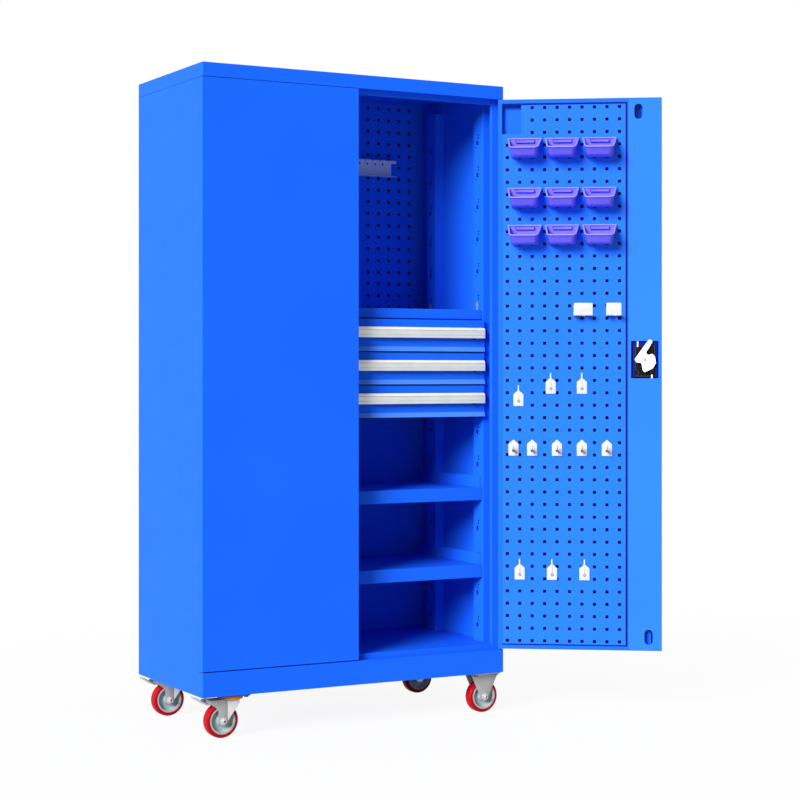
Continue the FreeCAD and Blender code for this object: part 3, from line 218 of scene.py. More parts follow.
class Recipe(Nodes):
    """One material's node tree, built round a single shader."""

    def __init__(self, name: str) -> None:
        """Starts a material of this name with a shader and an output."""
        self.material = bpy.data.materials.new(name)
        super().__init__(self.material)
        self.shader = self.add("ShaderNodeBsdfPrincipled")
        self.out = self.add("ShaderNodeOutputMaterial", {"Surface": self.shader.outputs["BSDF"]})
        self.place = self.add("ShaderNodeTexCoord").outputs["Object"]

    def noise(self, scale: float, detail: float, stretch: Point = (1, 1, 1)) -> NodeSocket:
        """A noise over the piece's own space.

        Args:
            scale: how many features to a metre.
            detail: how many finer octaves it has.
            stretch: how much more often it repeats along each axis.

        Returns:
            The noise's factor.
        """
        mapping = self.add("ShaderNodeMapping", {"Vector": self.place, "Scale": stretch})
        feeds = {"Vector": mapping.outputs["Vector"], "Scale": scale, "Detail": detail}
        return self.add("ShaderNodeTexNoise", feeds).outputs["Fac"]

    def ramp(self, source: NodeSocket, low: float, high: float) -> NodeSocket:
        """Spreads a factor, so that a quarter becomes the low value and three quarters the high one."""
        feeds = {"Value": source, "From Min": 0.25, "From Max": 0.75, "To Min": low, "To Max": high}
        return self.add("ShaderNodeMapRange", feeds).outputs["Result"]

    def within(self, hollow: ShadedHollow) -> NodeSocket:
        """One inside a hollow and nought outside it."""
        back = DOOR.open_way(-hollow.turn)
        mapping = self.add("ShaderNodeMapping", {"Vector": self.place, "Rotation": back.to_euler(),
                                                 "Location": back.to_translation()})
        here = mapping.outputs["Vector"]
        middle = (Vector(hollow.low) + Vector(hollow.high)) / 2
        half = (Vector(hollow.high) - Vector(hollow.low)) / 2
        for operation, value in (("SUBTRACT", middle), ("DIVIDE", half), ("ABSOLUTE", half)):
            step = self.add("ShaderNodeVectorMath", {0: here, 1: value}, operation=operation)
            here = step.outputs["Vector"]
        axes = self.add("ShaderNodeSeparateXYZ", {0: here}).outputs
        most = self.reckon("MAXIMUM", self.reckon("MAXIMUM", axes["X"], axes["Y"]), axes["Z"])
        return self.reckon("LESS_THAN", most, 1.0)

    def tint(self, factor: NodeSocket, first: Colour | NodeSocket, second: Colour) -> None:
        """Colours the surface between two colours by a factor."""
        mix = self.add("ShaderNodeMix", {0: factor, 6: first, 7: second}, data_type="RGBA")
        self.feed(self.shader.inputs["Base Color"], mix.outputs[2])


@dataclass(frozen=True)
class Coat:
    """A finish: a colour and a roughness that drift a little, and a fine grain.

    Each noise is given as its features to a metre and its octaves.
    """

    name: str
    colour: Colour
    roughness: float = 0.4
    gloss: float = 0.5
    metallic: float = 0.0
    tones: Pair = (0.96, 1.04)
    drift: Pair = (0.05, 0.05)
    cloud: Pair = (14.0, 3.0)
    haze: Pair = (60.0, 3.0)
    grain: Pair = (1200.0, 1.0)
    relief: Pair = (0.15, 0.0001)
    along: Point = (1.0, 1.0, 1.0)
    hollows: tuple[ShadedHollow, ...] = ()

    def build(self) -> bpy.types.Material:
        """Returns the finished material."""
        recipe = Recipe(self.name)
        dark, light = (tuple(min(1.0, part * tone) for part in self.colour) for tone in self.tones)
        recipe.tint(recipe.ramp(recipe.noise(*self.cloud), 0.0, 1.0), dark, light)
        inputs, (below, above), (strength, distance) = recipe.shader.inputs, self.drift, self.relief
        haze = recipe.noise(*self.haze, self.along)
        recipe.feed(inputs["Roughness"], recipe.ramp(haze, self.roughness - below, self.roughness + above))
        recipe.feed(inputs["Specular IOR Level"], self.gloss)
        recipe.feed(inputs["Metallic"], self.metallic)
        grain = recipe.noise(*self.grain, self.along)
        bump = recipe.add("ShaderNodeBump", {"Strength": strength, "Distance": distance, "Height": grain})
        recipe.feed(inputs["Normal"], bump.outputs["Normal"])
        # Inside each hollow the colour is mixed to near black, as painted shade.
        for hollow in self.hollows:
            under = inputs["Base Color"].links[0].from_socket
            recipe.tint(recipe.within(hollow), under, hollow.painted_shade)
        return recipe.material


@dataclass(frozen=True)
class PowderCoat(Coat):
    """Baked powder paint: a broad even tone with a fine orange peel."""

    roughness: float = 0.42
    gloss: float = 0.05
    tones: Pair = (0.965, 1.035)
    drift: Pair = (0.04, 0.05)
    cloud: Pair = (2.5, 3.0)
    haze: Pair = (18.0, 4.0)
    grain: Pair = (700.0, 2.0)
    relief: Pair = (0.12, 0.0002)


@dataclass(frozen=True)
class Plastic(Coat):
    """Moulded plastic: an even tone, a faint flow pattern and a fine grain."""

    gloss: float = 0.3


@dataclass(frozen=True)
class Metal(Coat):
    """Bare or plated metal: a brushed or rolled grain along one axis."""

    roughness: float = 0.35
    tones: Pair = (0.93, 1.05)
    drift: Pair = (0.06, 0.08)
    cloud: Pair = (22.0, 4.0)
    haze: Pair = (400.0, 3.0)
    grain: Pair = (400.0, 3.0)
    relief: Pair = (0.1, 0.0001)


BODY_BLUE: Colour = (0.0105, 0.134, 0.91)
# Boxes where the door skins and the back panel are painted dark, as painted shade for the cavities behind the
# peg panels.
RIGHT_HOLLOWS = (ShadedHollow((0.108, -0.2489, 0.20), (0.492, -0.2285, 1.774), DOOR.swing),
                 ShadedHollow((0.108, -0.2489, 1.774), (0.430, -0.2285, 1.882), DOOR.swing))
LEFT_HOLLOWS = (ShadedHollow((-0.492, -0.2489, 0.20), (-0.108, -0.2285, 1.774)),
                ShadedHollow((-0.430, -0.2489, 1.774), (-0.108, -0.2285, 1.882)))
BACK_HOLLOWS = (ShadedHollow((-0.46, 0.20, 1.242), (0.46, 0.2477, 1.92)),)


class Finish(Enum):
    """Every finish on the cabinet."""

    BLUE = PowderCoat("blue powder coat", BODY_BLUE)
    # The body blue made lighter for the door panels and stiles: painted light for faces that catch more of
    # it.
    PANEL_BLUE = PowderCoat("blue powder coat, painted light, door panels", (0.017, 0.158, 0.92))
    STILE_BLUE = PowderCoat("blue powder coat, painted light, door stiles", (0.024, 0.178, 0.93))
    RIGHT_SKIN = PowderCoat("blue coat, right door", BODY_BLUE, hollows=RIGHT_HOLLOWS)
    LEFT_SKIN = PowderCoat("blue coat, left door", BODY_BLUE, hollows=LEFT_HOLLOWS)
    BACK_PANEL = PowderCoat("blue coat, back", BODY_BLUE, hollows=BACK_HOLLOWS)
    # Near-black blue for the lock rods: painted shade where they cross the stile's slots.
    PRIMER = PowderCoat("painted slot shade", (0.003, 0.008, 0.05))
    # Dark navy strips along the door panels' edges: painted shadow for the seam.
    SEAL = Plastic("painted seam shadow", (0.0012, 0.003, 0.20), 0.5, 0.1)
    RECESS = PowderCoat("painted recess shade", (0.0035, 0.010, 0.28))
    WHITE = PowderCoat("white coat", (0.56, 0.565, 0.58), gloss=0.2)
    BRIGHT_WHITE = PowderCoat("bright white coat", (0.88, 0.88, 0.90), gloss=0.2)
    LILAC = PowderCoat("lilac coat", (0.62, 0.78, 1.0), gloss=0.2)
    # Dark steel: the caster bolts' and top plates' own tone, and painted shade in the axles' drilled ends.
    DARK_STEEL = Metal("dark steel and painted hole shade", (0.06, 0.065, 0.08), 0.5, metallic=0.3)
    ZINC = Metal("zinc plate", (0.36, 0.36, 0.36), 0.42, metallic=0.35)
    # Brighter zinc: the hinge pins' and pedals' own tone, and a painted highlight on the forks' flared noses.
    BRIGHT_ZINC = Metal("bright zinc and painted highlight", (0.54, 0.54, 0.53), 0.36, metallic=0.4)
    POLISHED = Metal("polished zinc", (0.56, 0.555, 0.54), 0.3, metallic=0.4)
    # A cream-white strip on each pull's top slope: a painted highlight.
    IVORY = Metal("painted pull highlight", (0.95, 0.90, 0.78), metallic=0.2)
    ALUMINIUM = Metal("satin aluminium", (0.66, 0.695, 0.68), 0.4, metallic=0.4, along=(0.02, 1.0, 1.0))
    # A lighter blue on each drawer's leaning foot: a painted highlight.
    BLUE_SHEEN = PowderCoat("blue sheen", (0.07, 0.245, 0.95), gloss=0.1)
    BLACK = Plastic("black plastic", (0.0045, 0.0045, 0.005), 0.55, 0.06)
    BRONZE = Plastic("bronze line", (0.10, 0.07, 0.04), 0.5, 0.2)
    VIOLET = Plastic("violet plastic", (0.17, 0.14, 0.90), 0.38, 0.15)
    # A lighter violet for the bins' rims: a painted highlight.
    VIOLET_RIM = Plastic("violet plastic, painted rim highlight", (0.33, 0.28, 0.95), 0.36, 0.2)
    RED = Plastic("red polyurethane", (0.38, 0.003, 0.006), 0.42, 0.08)
    HUB = Plastic("grey hub plastic", (0.36, 0.44, 0.44), 0.42, 0.2)
    ORANGE = Plastic("orange ring plastic", (1.0, 0.25, 0.008), 0.45, 0.1, tones=(0.99, 1.01))
    NYLON = Plastic("grey nylon", (0.05, 0.06, 0.09), 0.5, 0.1)

    @cache
    def material(self) -> bpy.types.Material:
        """The one material of this finish."""
        return self.value.build()

    def dress(self, *names: str) -> None:
        """Covers these pieces, new or carried over, with this finish alone."""
        for name in names:
            piece = bpy.data.objects[name]
            for slot in piece.material_slots:
                slot.link = "OBJECT"
                slot.material = self.material()
            if not piece.material_slots:
                piece.data.materials.append(self.material())
            LOG.info("dressed %s", name)


# The workbench


def rectangle(left: float, low: float, right: float, high: float) -> list[Pair]:
    """A rectangle's corners, from the lower left one round to the upper left one."""
    return [(left, low), (right, low), (right, high), (left, high)]


def rounded(corners: Sequence[Pair], radii: Sequence[float], steps: int = 5) -> list[Pair]:
    """An outline with its corners rounded.

    Args:
        corners: the sharp outline, in order.
        radii: one radius for each corner, nought where it stays sharp.
        steps: how many straight runs make up each rounded corner.

    Returns:
        The corners of the rounded outline.
    """
    result: list[Pair] = []
    for index, radius in enumerate(radii):
        here = Vector(corners[index])
        if radius <= 0:
            result.append(tuple(here))
            continue
        before = (Vector(corners[index - 1]) - here).normalized()
        after = (Vector(corners[(index + 1) % len(corners)]) - here).normalized()
        half = before.angle(after) / 2
        middle = here + (before + after).normalized() * (radius / math.sin(half))
        start = here + before * (radius / math.tan(half)) - middle
        end = here + after * (radius / math.tan(half)) - middle
        sweep = start.angle_signed(end)
        for step in range(steps + 1):
            turn = -sweep * step / steps
            result.append((middle.x + start.x * math.cos(turn) - start.y * math.sin(turn),
                           middle.y + start.x * math.sin(turn) + start.y * math.cos(turn)))
    return result


class Bench:
    """Where new pieces are begun, shaped, joined and finished."""

    @staticmethod
    def pick(*pieces: Object) -> None:
        """Selects these pieces alone, the first as the active one."""
        bpy.ops.object.select_all(action="DESELECT")
        for piece in pieces:
            piece.select_set(True)
        bpy.context.view_layer.objects.active = pieces[0]

    @staticmethod
    @contextmanager
    def editing(piece: Object, kind: str = "FACE") -> Iterator[bmesh.types.BMesh]:
        """Opens a piece's mesh for shaping, with all of it chosen, and closes it again.

        Args:
            piece: the piece to open.
            kind: whether its faces or its edges are chosen.

        Yields:
            Its mesh.
        """
        Bench.pick(piece)
        bpy.ops.object.mode_set(mode="EDIT")
        bpy.ops.mesh.select_mode(type=kind)
        bpy.ops.mesh.select_all(action="SELECT")
        yield bmesh.from_edit_mesh(piece.data)
        bpy.ops.object.mode_set(mode="OBJECT")

    @staticmethod
    def choose(parts: Iterable[object], test: Callable[[object], bool]) -> None:
        """Selects the faces or edges that pass a test, and nothing else."""
        bpy.ops.mesh.select_all(action="DESELECT")
        for part in parts:
            part.select_set(test(part))

    @staticmethod
    def draw_out(way: Point) -> None:
        """Extrudes what is chosen along a way."""
        bpy.ops.mesh.extrude_region_move(TRANSFORM_OT_translate={"value": way})

    @staticmethod
    def close() -> None:
        """Merges doubles and turns every face outwards."""
        bpy.ops.mesh.select_all(action="SELECT")
        bpy.ops.mesh.remove_doubles(threshold=0.000002)
        bpy.ops.mesh.normals_make_consistent(inside=False)

    @staticmethod
    def begin(name: str, primitive: Callable, place: Point = (0, 0, 0), **settings: object) -> Object:
        """Starts a piece from one of Blender's own forms.

        Args:
            name: the piece's name.
            primitive: the call that adds the form.
            place: where its middle is.
            settings: what else the call is told.

        Returns:
            The piece.
        """
        bpy.ops.object.select_all(action="DESELECT")
        primitive(location=place, **settings)
        bpy.ops.object.transform_apply(location=True, rotation=True, scale=True)
        piece = bpy.context.object
        piece.name = piece.data.name = name
        return piece

    @staticmethod
    def blank(name: str, corners: Sequence[Pair], place: Place, fill: str = "NGON") -> Object:
        """A flat blank cut to an outline.

        Args:
            name: its name.
            corners: its outline, in the outline's own two directions.
            place: where a point of the outline goes in the cabinet's space.
            fill: whether the outline has a face or is a bare line.

        Returns:
            The blank.
        """
        piece = Bench.begin(name, bpy.ops.mesh.primitive_circle_add, vertices=len(corners), radius=1.0,
                            fill_type=fill)
        for vertex, corner in zip(piece.data.vertices, corners):
            vertex.co = place(*corner)
        return piece

    @staticmethod
    def slab(name: str, corners: Sequence[Pair], place: Place, along: Point, easing: float = 0.0,
             segments: int = 2) -> Object:
        """A blank drawn out to a solid, with its edges eased.

        Args:
            name: its name.
            corners: its outline.
            place: where a point of the outline goes.
            along: how far and which way it is drawn out.
            easing: how wide the rounding of its edges is.
            segments: how many faces make up the rounding.

        Returns:
            The solid.
        """
        piece = Bench.blank(name, corners, place)
        with Bench.editing(piece):
            Bench.draw_out(along)
            Bench.close()
        if easing > 0:
            Bench.ease(piece, easing, segments)
        return piece

    @staticmethod
    def hoop(name: str, corners: Sequence[Pair], place: Place, width: float, depth: float) -> Object:
        """A flat band that runs inside an outline.

        Args:
            name: its name.
            corners: the outline.
            place: where a point of the outline goes.
            width: how wide the band is.
            depth: how thick it is, half to each side of the outline's plane.

        Returns:
            The band.
        """
        piece = Bench.blank(name, corners, place)
        with Bench.editing(piece):
            bpy.ops.mesh.inset(thickness=width)
            bpy.ops.mesh.delete(type="FACE")
        Bench.apply(piece, "SOLIDIFY", thickness=depth, offset=0)
        return piece

    @staticmethod
    def turned(name: str, section: Sequence[Pair], centre: Point, axis: Point = (0, 1, 0),
               steps: int = 64) -> Object:
        """A ring or wheel turned round an axis.

        Args:
            name: its name.
            section: the outline of its section, as radius and offset along the axis.
            centre: the point that the offsets count from.
            axis: the direction it is turned round.
            steps: how many sides the turning has.

        Returns:
            The turned piece.
        """
        way = Vector(axis).normalized()
        side = way.orthogonal().normalized()
        piece = Bench.blank(name, section,
                            lambda radius, offset: Vector(centre) + side * radius + way * offset, "NOTHING")
        with Bench.editing(piece, "EDGE") as shape:
            if section[0][0] == section[-1][0] == 0:
                ends = {0, len(section) - 1}
                Bench.choose(shape.edges, lambda edge: {vertex.index for vertex in edge.verts} == ends)
                bpy.ops.mesh.delete(type="EDGE")
                bpy.ops.mesh.select_all(action="SELECT")
            bpy.ops.mesh.spin(steps=steps, angle=math.tau, center=centre, axis=way)
            Bench.close()
            bpy.ops.mesh.dissolve_degenerate(threshold=0.000002)
        return piece

    @staticmethod
    def box(name: str, low: Point, high: Point) -> Object:
        """A block between two corners."""
        centre = [(a + b) / 2 for a, b in zip(low, high)]
        size = [b - a for a, b in zip(low, high)]
        return Bench.begin(name, bpy.ops.mesh.primitive_cube_add, centre, size=1.0, scale=size)

    @staticmethod
    def nut(centre: Point, way: Point, across: float, height: float) -> Object:
        """A six-sided head or nut with an eased top.

        Args:
            centre: the middle of the face it stands on.
            way: the direction it stands up in.
            across: the distance across its corners.
            height: how tall it is.

        Returns:
            The nut.
        """
        radius, easing = across / 2, height / 6
        section = [(0, 0), (radius, 0), (radius, height - easing), (radius - easing, height), (0, height)]
        return Bench.turned("nut", section, centre, way, 6)

    @staticmethod
    def apply(piece: Object, kind: str, **settings: object) -> None:
        """Adds one modifier with its settings and applies it."""
        Bench.pick(piece)
        modifier = piece.modifiers.new(kind.lower(), kind)
        for key, value in settings.items():
            setattr(modifier, key, value)
        bpy.ops.object.modifier_apply(modifier=modifier.name)

    @staticmethod
    def ease(piece: Object, width: float, segments: int = 2, angle: float = 35.0) -> None:
        """Rounds a piece's sharp edges and shades the rest smooth.

        Args:
            piece: the piece to ease.
            width: how wide the rounding is.
            segments: how many faces make it up.
            angle: the least angle, in degrees, of an edge that counts as sharp.
        """
        if width > 0:
            Bench.apply(piece, "BEVEL", width=width, segments=segments, limit_method="ANGLE",
                        angle_limit=math.radians(angle))
        Bench.pick(piece)
        bpy.ops.object.shade_smooth_by_angle(angle=math.radians(angle))

    @staticmethod
    def join(name: str, pieces: Sequence[Object]) -> Object:
        """Joins pieces into one, under one name."""
        Bench.pick(*pieces)
        if len(pieces) > 1:
            bpy.ops.object.join()
        piece = bpy.context.object
        piece.name = piece.data.name = name
        return piece

    @staticmethod
    def repeat(pattern: Object, moves: Iterable[Matrix]) -> list[Object]:
        """Copies a pattern, each copy with its own mesh, moved in it. The pattern is then gone.

        Args:
            pattern: the piece to copy.
            moves: the move of each copy.

        Returns:
            The copies.
        """
        twins = []
        for move in moves:
            twin = pattern.copy()
            twin.data = pattern.data.copy()
            twin.data.transform(move)
            if move.is_negative:
                twin.data.flip_normals()
            bpy.context.scene.collection.objects.link(twin)
            twins.append(twin)
        bpy.data.objects.remove(pattern)
        return twins

    @staticmethod
    def fit(name: str, parts: Sequence[Object], body: Body | str, finish: Finish, slot: Slot,
            *nodes: str) -> None:
        """Joins parts into one finished piece and puts it on its body.

        Args:
            name: the piece's name.
            parts: what it is joined from, shaped on the shut door where it rides on that door.
            body: the body that it moves with.
            finish: what it is covered with.
            slot: not used.
            nodes: the plain solids that it stands for.
        """
        piece = Bench.join(name, parts)
        Bench.ease(piece, 0)
        if body in DOOR.bodies:
            piece.data.transform(DOOR.open_way(DOOR.swing))
        finish.dress(name)
        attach(piece, getattr(body, "value", body))
        if nodes:
            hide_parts(*nodes)
        LOG.info("fitted %s with %d faces", name, len(piece.data.polygons))


# The cabinet's parts


@dataclass
class Carcass:
    """The fixed body: cap, walls, plinth, uprights, shelves and the rear panel."""

    painted: Sequence[str] = ("top_cover", "front_top_rail", "left_side_panel", "right_side_panel",
                              "base_frame", "floor_panel", "slotted_uprights", "rear_pegboard",
                              "lower_shelf", "upper_shelf", "drawer_bay_shelf", "drawer_housing")

    def build(self) -> None:
        """Dresses the fixed body."""
        Finish.BLUE.dress(*self.painted)
        Finish.ZINC.dress("shelf_clips", "drawer_outer_rails")
        Finish.BACK_PANEL.dress("back_panel")
        Finish.NYLON.dress("hinge_bushes")
        Finish.LILAC.dress("screwdriver_rack")


@dataclass
class DoorPanels:
    """The painted sheet of both doors, their hinge pins and the dark strips round their peg panels, which are
    painted seam shadow.
    """

    near: float = 0.0035
    far: float = 0.395
    low: float = 0.208
    high: float = 1.872
    width: float = 0.0060
    depth: float = 0.0006
    sunk: float = 0.0002
    easing: float = 0.0002
    radii: Sequence[float] = (0, 0, 0.001, 0.001, 0, 0, 0.004, 0.004)

    def build(self) -> None:
        """Dresses the sheet metal and lays a dark strip along three edges of each peg panel as painted seam
        shadow.
        """
        # Panels and stiles take lighter copies of the body blue, as painted light.
        Finish.PANEL_BLUE.dress("left_door_pegboard", "right_door_pegboard")
        Finish.STILE_BLUE.dress("left_door_stile", "right_door_lock_stile")
        Finish.LEFT_SKIN.dress("left_door_skin")
        Finish.RIGHT_SKIN.dress("right_door_skin")
        Finish.BRIGHT_ZINC.dress("left_door_hinge_pins", "right_door_hinge_pins")
        near, far, low, high, width = self.near, self.far, self.low, self.high, self.width
        corners = ((near, high), (near, high - width), (far - width, high - width),
                   (far - width, low + width), (near, low + width), (near, low), (far, low), (far, high))
        shade_strip = Bench.slab("shade_strip", rounded(corners, self.radii), DOOR.layer(DOOR.inner_face - self.sunk),
                          (0, self.depth + self.sunk, 0), self.easing, 1)
        right, left = Bench.repeat(shade_strip, (Matrix.Identity(4), Matrix.Scale(-1, 4, (1, 0, 0))))
        Bench.fit("right_door_panel_shade_line", [right], Body.RIGHT_DOOR, Finish.SEAL, Slot.BLUE)
        Bench.fit("left_door_panel_shade_line", [left], Body.LEFT_DOOR, Finish.SEAL, Slot.BLUE)


@dataclass
class Lock:
    """The lock in the right door: plate, cam, lever and the ends of its two rods.

    Each corner of the cam is given as across, up and its rounding. Each station of the lever's edge is
    its place across, its share of half the width and its rounding.
    """

    across: float = 0.447
    height: float = 1.085
    skin: float = 0.0002
    plate_half: Pair = (0.0365, 0.054)
    plate_low: float = 0.008
    plate_high: float = 0.0168
    plate_easing: float = 0.0006
    border: float = 0.003
    groove: float = 0.0008
    bore: float = 0.0055
    neck_radius: float = 0.0117
    rose_radius: float = 0.019
    rose_depth: float = 0.003
    rose_rounding: float = 0.0018
    frame_inset: float = 0.0006
    frame_near: float = 0.0050
    frame_far: float = 0.0030
    frame_top: float = 0.0082
    frame_depth: float = 0.0005
    line_box: tuple[float, float, float, float] = (-0.0283, -0.0505, 0.0296, 0.0425)
    line_notch: float = 0.011
    line_width: float = 0.0009
    line_depth: float = 0.0005
    cam_low: float = 0.0243
    cam_depth: float = 0.003
    cam_easing: float = 0.0005
    cam_corners: Sequence[tuple[float, float, float]] = (
        (0.012, 0.061, 0.006), (0.027, 0.060, 0.006), (0.013, 0.036, 0.003), (0.004, 0.022, 0.005),
        (0.009, 0.014, 0.003), (0.023, 0.018, 0.004), (0.031, 0.009, 0.003), (0.034, -0.011, 0.004),
        (0.024, -0.027, 0.003), (-0.001, -0.039, 0.003), (-0.006, -0.033, 0.002),
        (-0.010, -0.011, 0.004), (-0.026, -0.008, 0.003), (-0.031, 0.001, 0.003))
    hub_bore: float = 0.0051
    hub_radius: float = 0.009
    hub_above: float = 0.0015
    hub_rounding: float = 0.001
    head_across: float = 0.0095
    head_above: float = 0.0012
    spindle_radius: float = 0.0049
    dome_size: float = 0.014
    dome_radii: Sequence[float] = (0, 0.0008, 0.005, 0)
    lever_gap: float = 0.0003
    lever_half: float = 0.010
    lever_out: float = 0.006
    lever_depth: float = 0.008
    lever_easing: float = 0.0026
    lever_stations: Sequence[tuple[float, float, float]] = (
        (0.006, 1.0, 0.008), (-0.03, 0.92, 0.02), (-0.115, 0.72, 0.006))
    rod_offset: float = 0.0215
    rod_starts: Pair = (0.0386, 0.0456)
    rod_low: float = 0.0173
    rod_end: float = 0.060
    rod_half: float = 0.0022
    rod_rounding: float = 0.0012
    tip_sunk: float = 0.0008
    tip_depth: float = 0.0025
    small_easing: float = 0.0003

    def layer(self, inwards: float) -> Place:
        """Lays an outline, counted from the spindle, on the shut door at one depth."""
        return DOOR.layer(inwards, self.across, self.height)

    def build(self) -> None:
        """Makes and fits the lock."""
        centre = DOOR.at(self.across, 0, self.height)
        self.make_plate(centre)
        self.make_line()
        self.make_frame()
        self.make_cam(centre)
        self.make_lever(centre)
        self.make_rods()

    def make_plate(self, centre: Point) -> None:
        """The black plate with a raised border, its neck and the rose outside."""
        half_w, half_h = self.plate_half
        plate = Bench.slab("plate", rectangle(-half_w, -half_h, half_w, half_h),
                           self.layer(self.plate_high), (0, self.plate_low - self.plate_high, 0))
        with Bench.editing(plate) as shape:
            Bench.choose(shape.faces, lambda face: face.normal.y > 0.9)
            bpy.ops.mesh.inset(thickness=self.border)
            for step in (-self.groove, self.groove):
                bpy.ops.mesh.inset(thickness=self.groove)
                bpy.ops.transform.translate(value=(0, step, 0))
            Bench.close()
        Bench.ease(plate, self.plate_easing)
        neck = Bench.turned("neck", rectangle(self.bore, -self.skin, self.neck_radius, self.plate_low),
                            centre)
        section = rectangle(self.bore, -self.rose_depth, self.rose_radius, 0)
        rose = Bench.turned("rose", rounded(section, (0, self.rose_rounding, 0, 0)), centre)
        Bench.fit("lock_plate", [plate, neck, rose], Body.RIGHT_DOOR, Finish.BLACK, Slot.BLACK,
                  "lock_housing")

    def make_line(self) -> None:
        """The thin bronze line that runs round the plate, with notched lower corners."""
        left, low, right, high = self.line_box
        notch = self.line_notch
        corners = ((left, high), (left, low + 2 * notch), (left + notch, low + notch), (left, low),
                   (right, low), (right - notch, low + notch), (right, low + 2 * notch), (right, high))
        line = Bench.hoop("line", corners, self.layer(self.plate_high + self.skin), self.line_width,
                          self.line_depth)
        Bench.fit("lock_plate_line", [line], Body.RIGHT_DOOR, Finish.BRONZE, Slot.BLACK)

    def make_frame(self) -> None:
        """The dark blue strip along the plate's top and sides: painted shade standing for the shaded wall of
        its recess.
        """
        half_w, half_h = (half - self.frame_inset for half in self.plate_half)
        left, right, top = self.frame_near - half_w, half_w - self.frame_far, half_h - self.frame_top
        corners = ((-half_w, -half_h), (left, -half_h), (left, top), (right, top), (right, -half_h),
                   (half_w, -half_h), (half_w, half_h), (-half_w, half_h))
        frame = Bench.slab("frame", corners, self.layer(self.plate_high - self.skin),
                           (0, self.frame_depth, 0))
        Bench.fit("lock_plate_frame", [frame], Body.RIGHT_DOOR, Finish.RECESS, Slot.BLUE)

    def make_cam(self, centre: Point) -> None:
        """The white cam with its finger arm, its hub and the spindle's end."""
        outline = rounded([(a, u) for a, u, _ in self.cam_corners], [r for _, _, r in self.cam_corners])
        cam = Bench.slab("cam", outline, self.layer(self.cam_low), (0, self.cam_depth, 0), self.cam_easing)
        section = rectangle(self.hub_bore, self.rod_low, self.hub_radius,
                            self.cam_low + self.cam_depth + self.hub_above)
        hub = Bench.turned("hub", rounded(section, (0, 0, self.hub_rounding, 0)), centre, steps=40)
        Bench.fit("lock_cam_plate", [cam, hub], Body.LOCK, Finish.BRIGHT_WHITE, Slot.WHITE, "lock_cam")
        head = Bench.nut(DOOR.at(self.across, self.cam_low, self.height), (0, 1, 0), self.head_across,
                         self.cam_depth + self.head_above)
        Bench.ease(head, self.small_easing)
        Bench.fit("lock_spindle_end", [head], Body.LOCK, Finish.ZINC, Slot.ZINC)

    def make_lever(self, centre: Point) -> None:
        """The black lever outside the door, on a domed hub, with its spindle."""
        outer = -self.rose_depth - self.lever_gap
        dome = rounded(rectangle(0, outer, self.dome_size, outer - self.dome_size), self.dome_radii)
        edge = [(place, self.lever_half * share) for place, share, _ in self.lever_stations]
        corners = [(edge[0][0], -edge[0][1])] + edge + [(place, -half) for place, half in edge[:0:-1]]
        radii = [radius for _, _, radius in self.lever_stations]
        grip = Bench.slab("grip", rounded(corners, radii[:1] + radii + radii[:0:-1]),
                          self.layer(outer - self.lever_out), (0, -self.lever_depth, 0),
                          self.lever_easing, 4)
        shaft = rectangle(0, outer, self.spindle_radius, self.cam_low + self.cam_depth)
        Bench.fit("lock_lever", [Bench.turned("dome", dome, centre), grip,
                                 Bench.turned("spindle", shaft, centre, steps=24)],
                  Body.LOCK, Finish.BLACK, Slot.BLACK, "lock_handle")

    def make_rods(self) -> None:
        """The rods painted dark, as painted shade in the stile's slots, with a white tip where each shows
        beside the cam.
        """
        Finish.PRIMER.dress("upper_lock_rod", "lower_lock_rod")
        for body, side, first in zip((Body.UPPER_ROD, Body.LOWER_ROD), (1, -1), self.rod_starts):
            middle = -side * self.rod_offset
            start, end = sorted((side * first, side * self.rod_end))
            outline = rounded(rectangle(middle - self.rod_half, start, middle + self.rod_half, end),
                              [self.rod_rounding] * 4)
            tip = Bench.slab("tip", outline, self.layer(self.rod_low + self.tip_sunk),
                             (0, self.tip_depth, 0), self.small_easing)
            Bench.fit(f"{body.value}_tip", [tip], body, Finish.BRIGHT_WHITE, Slot.WHITE)


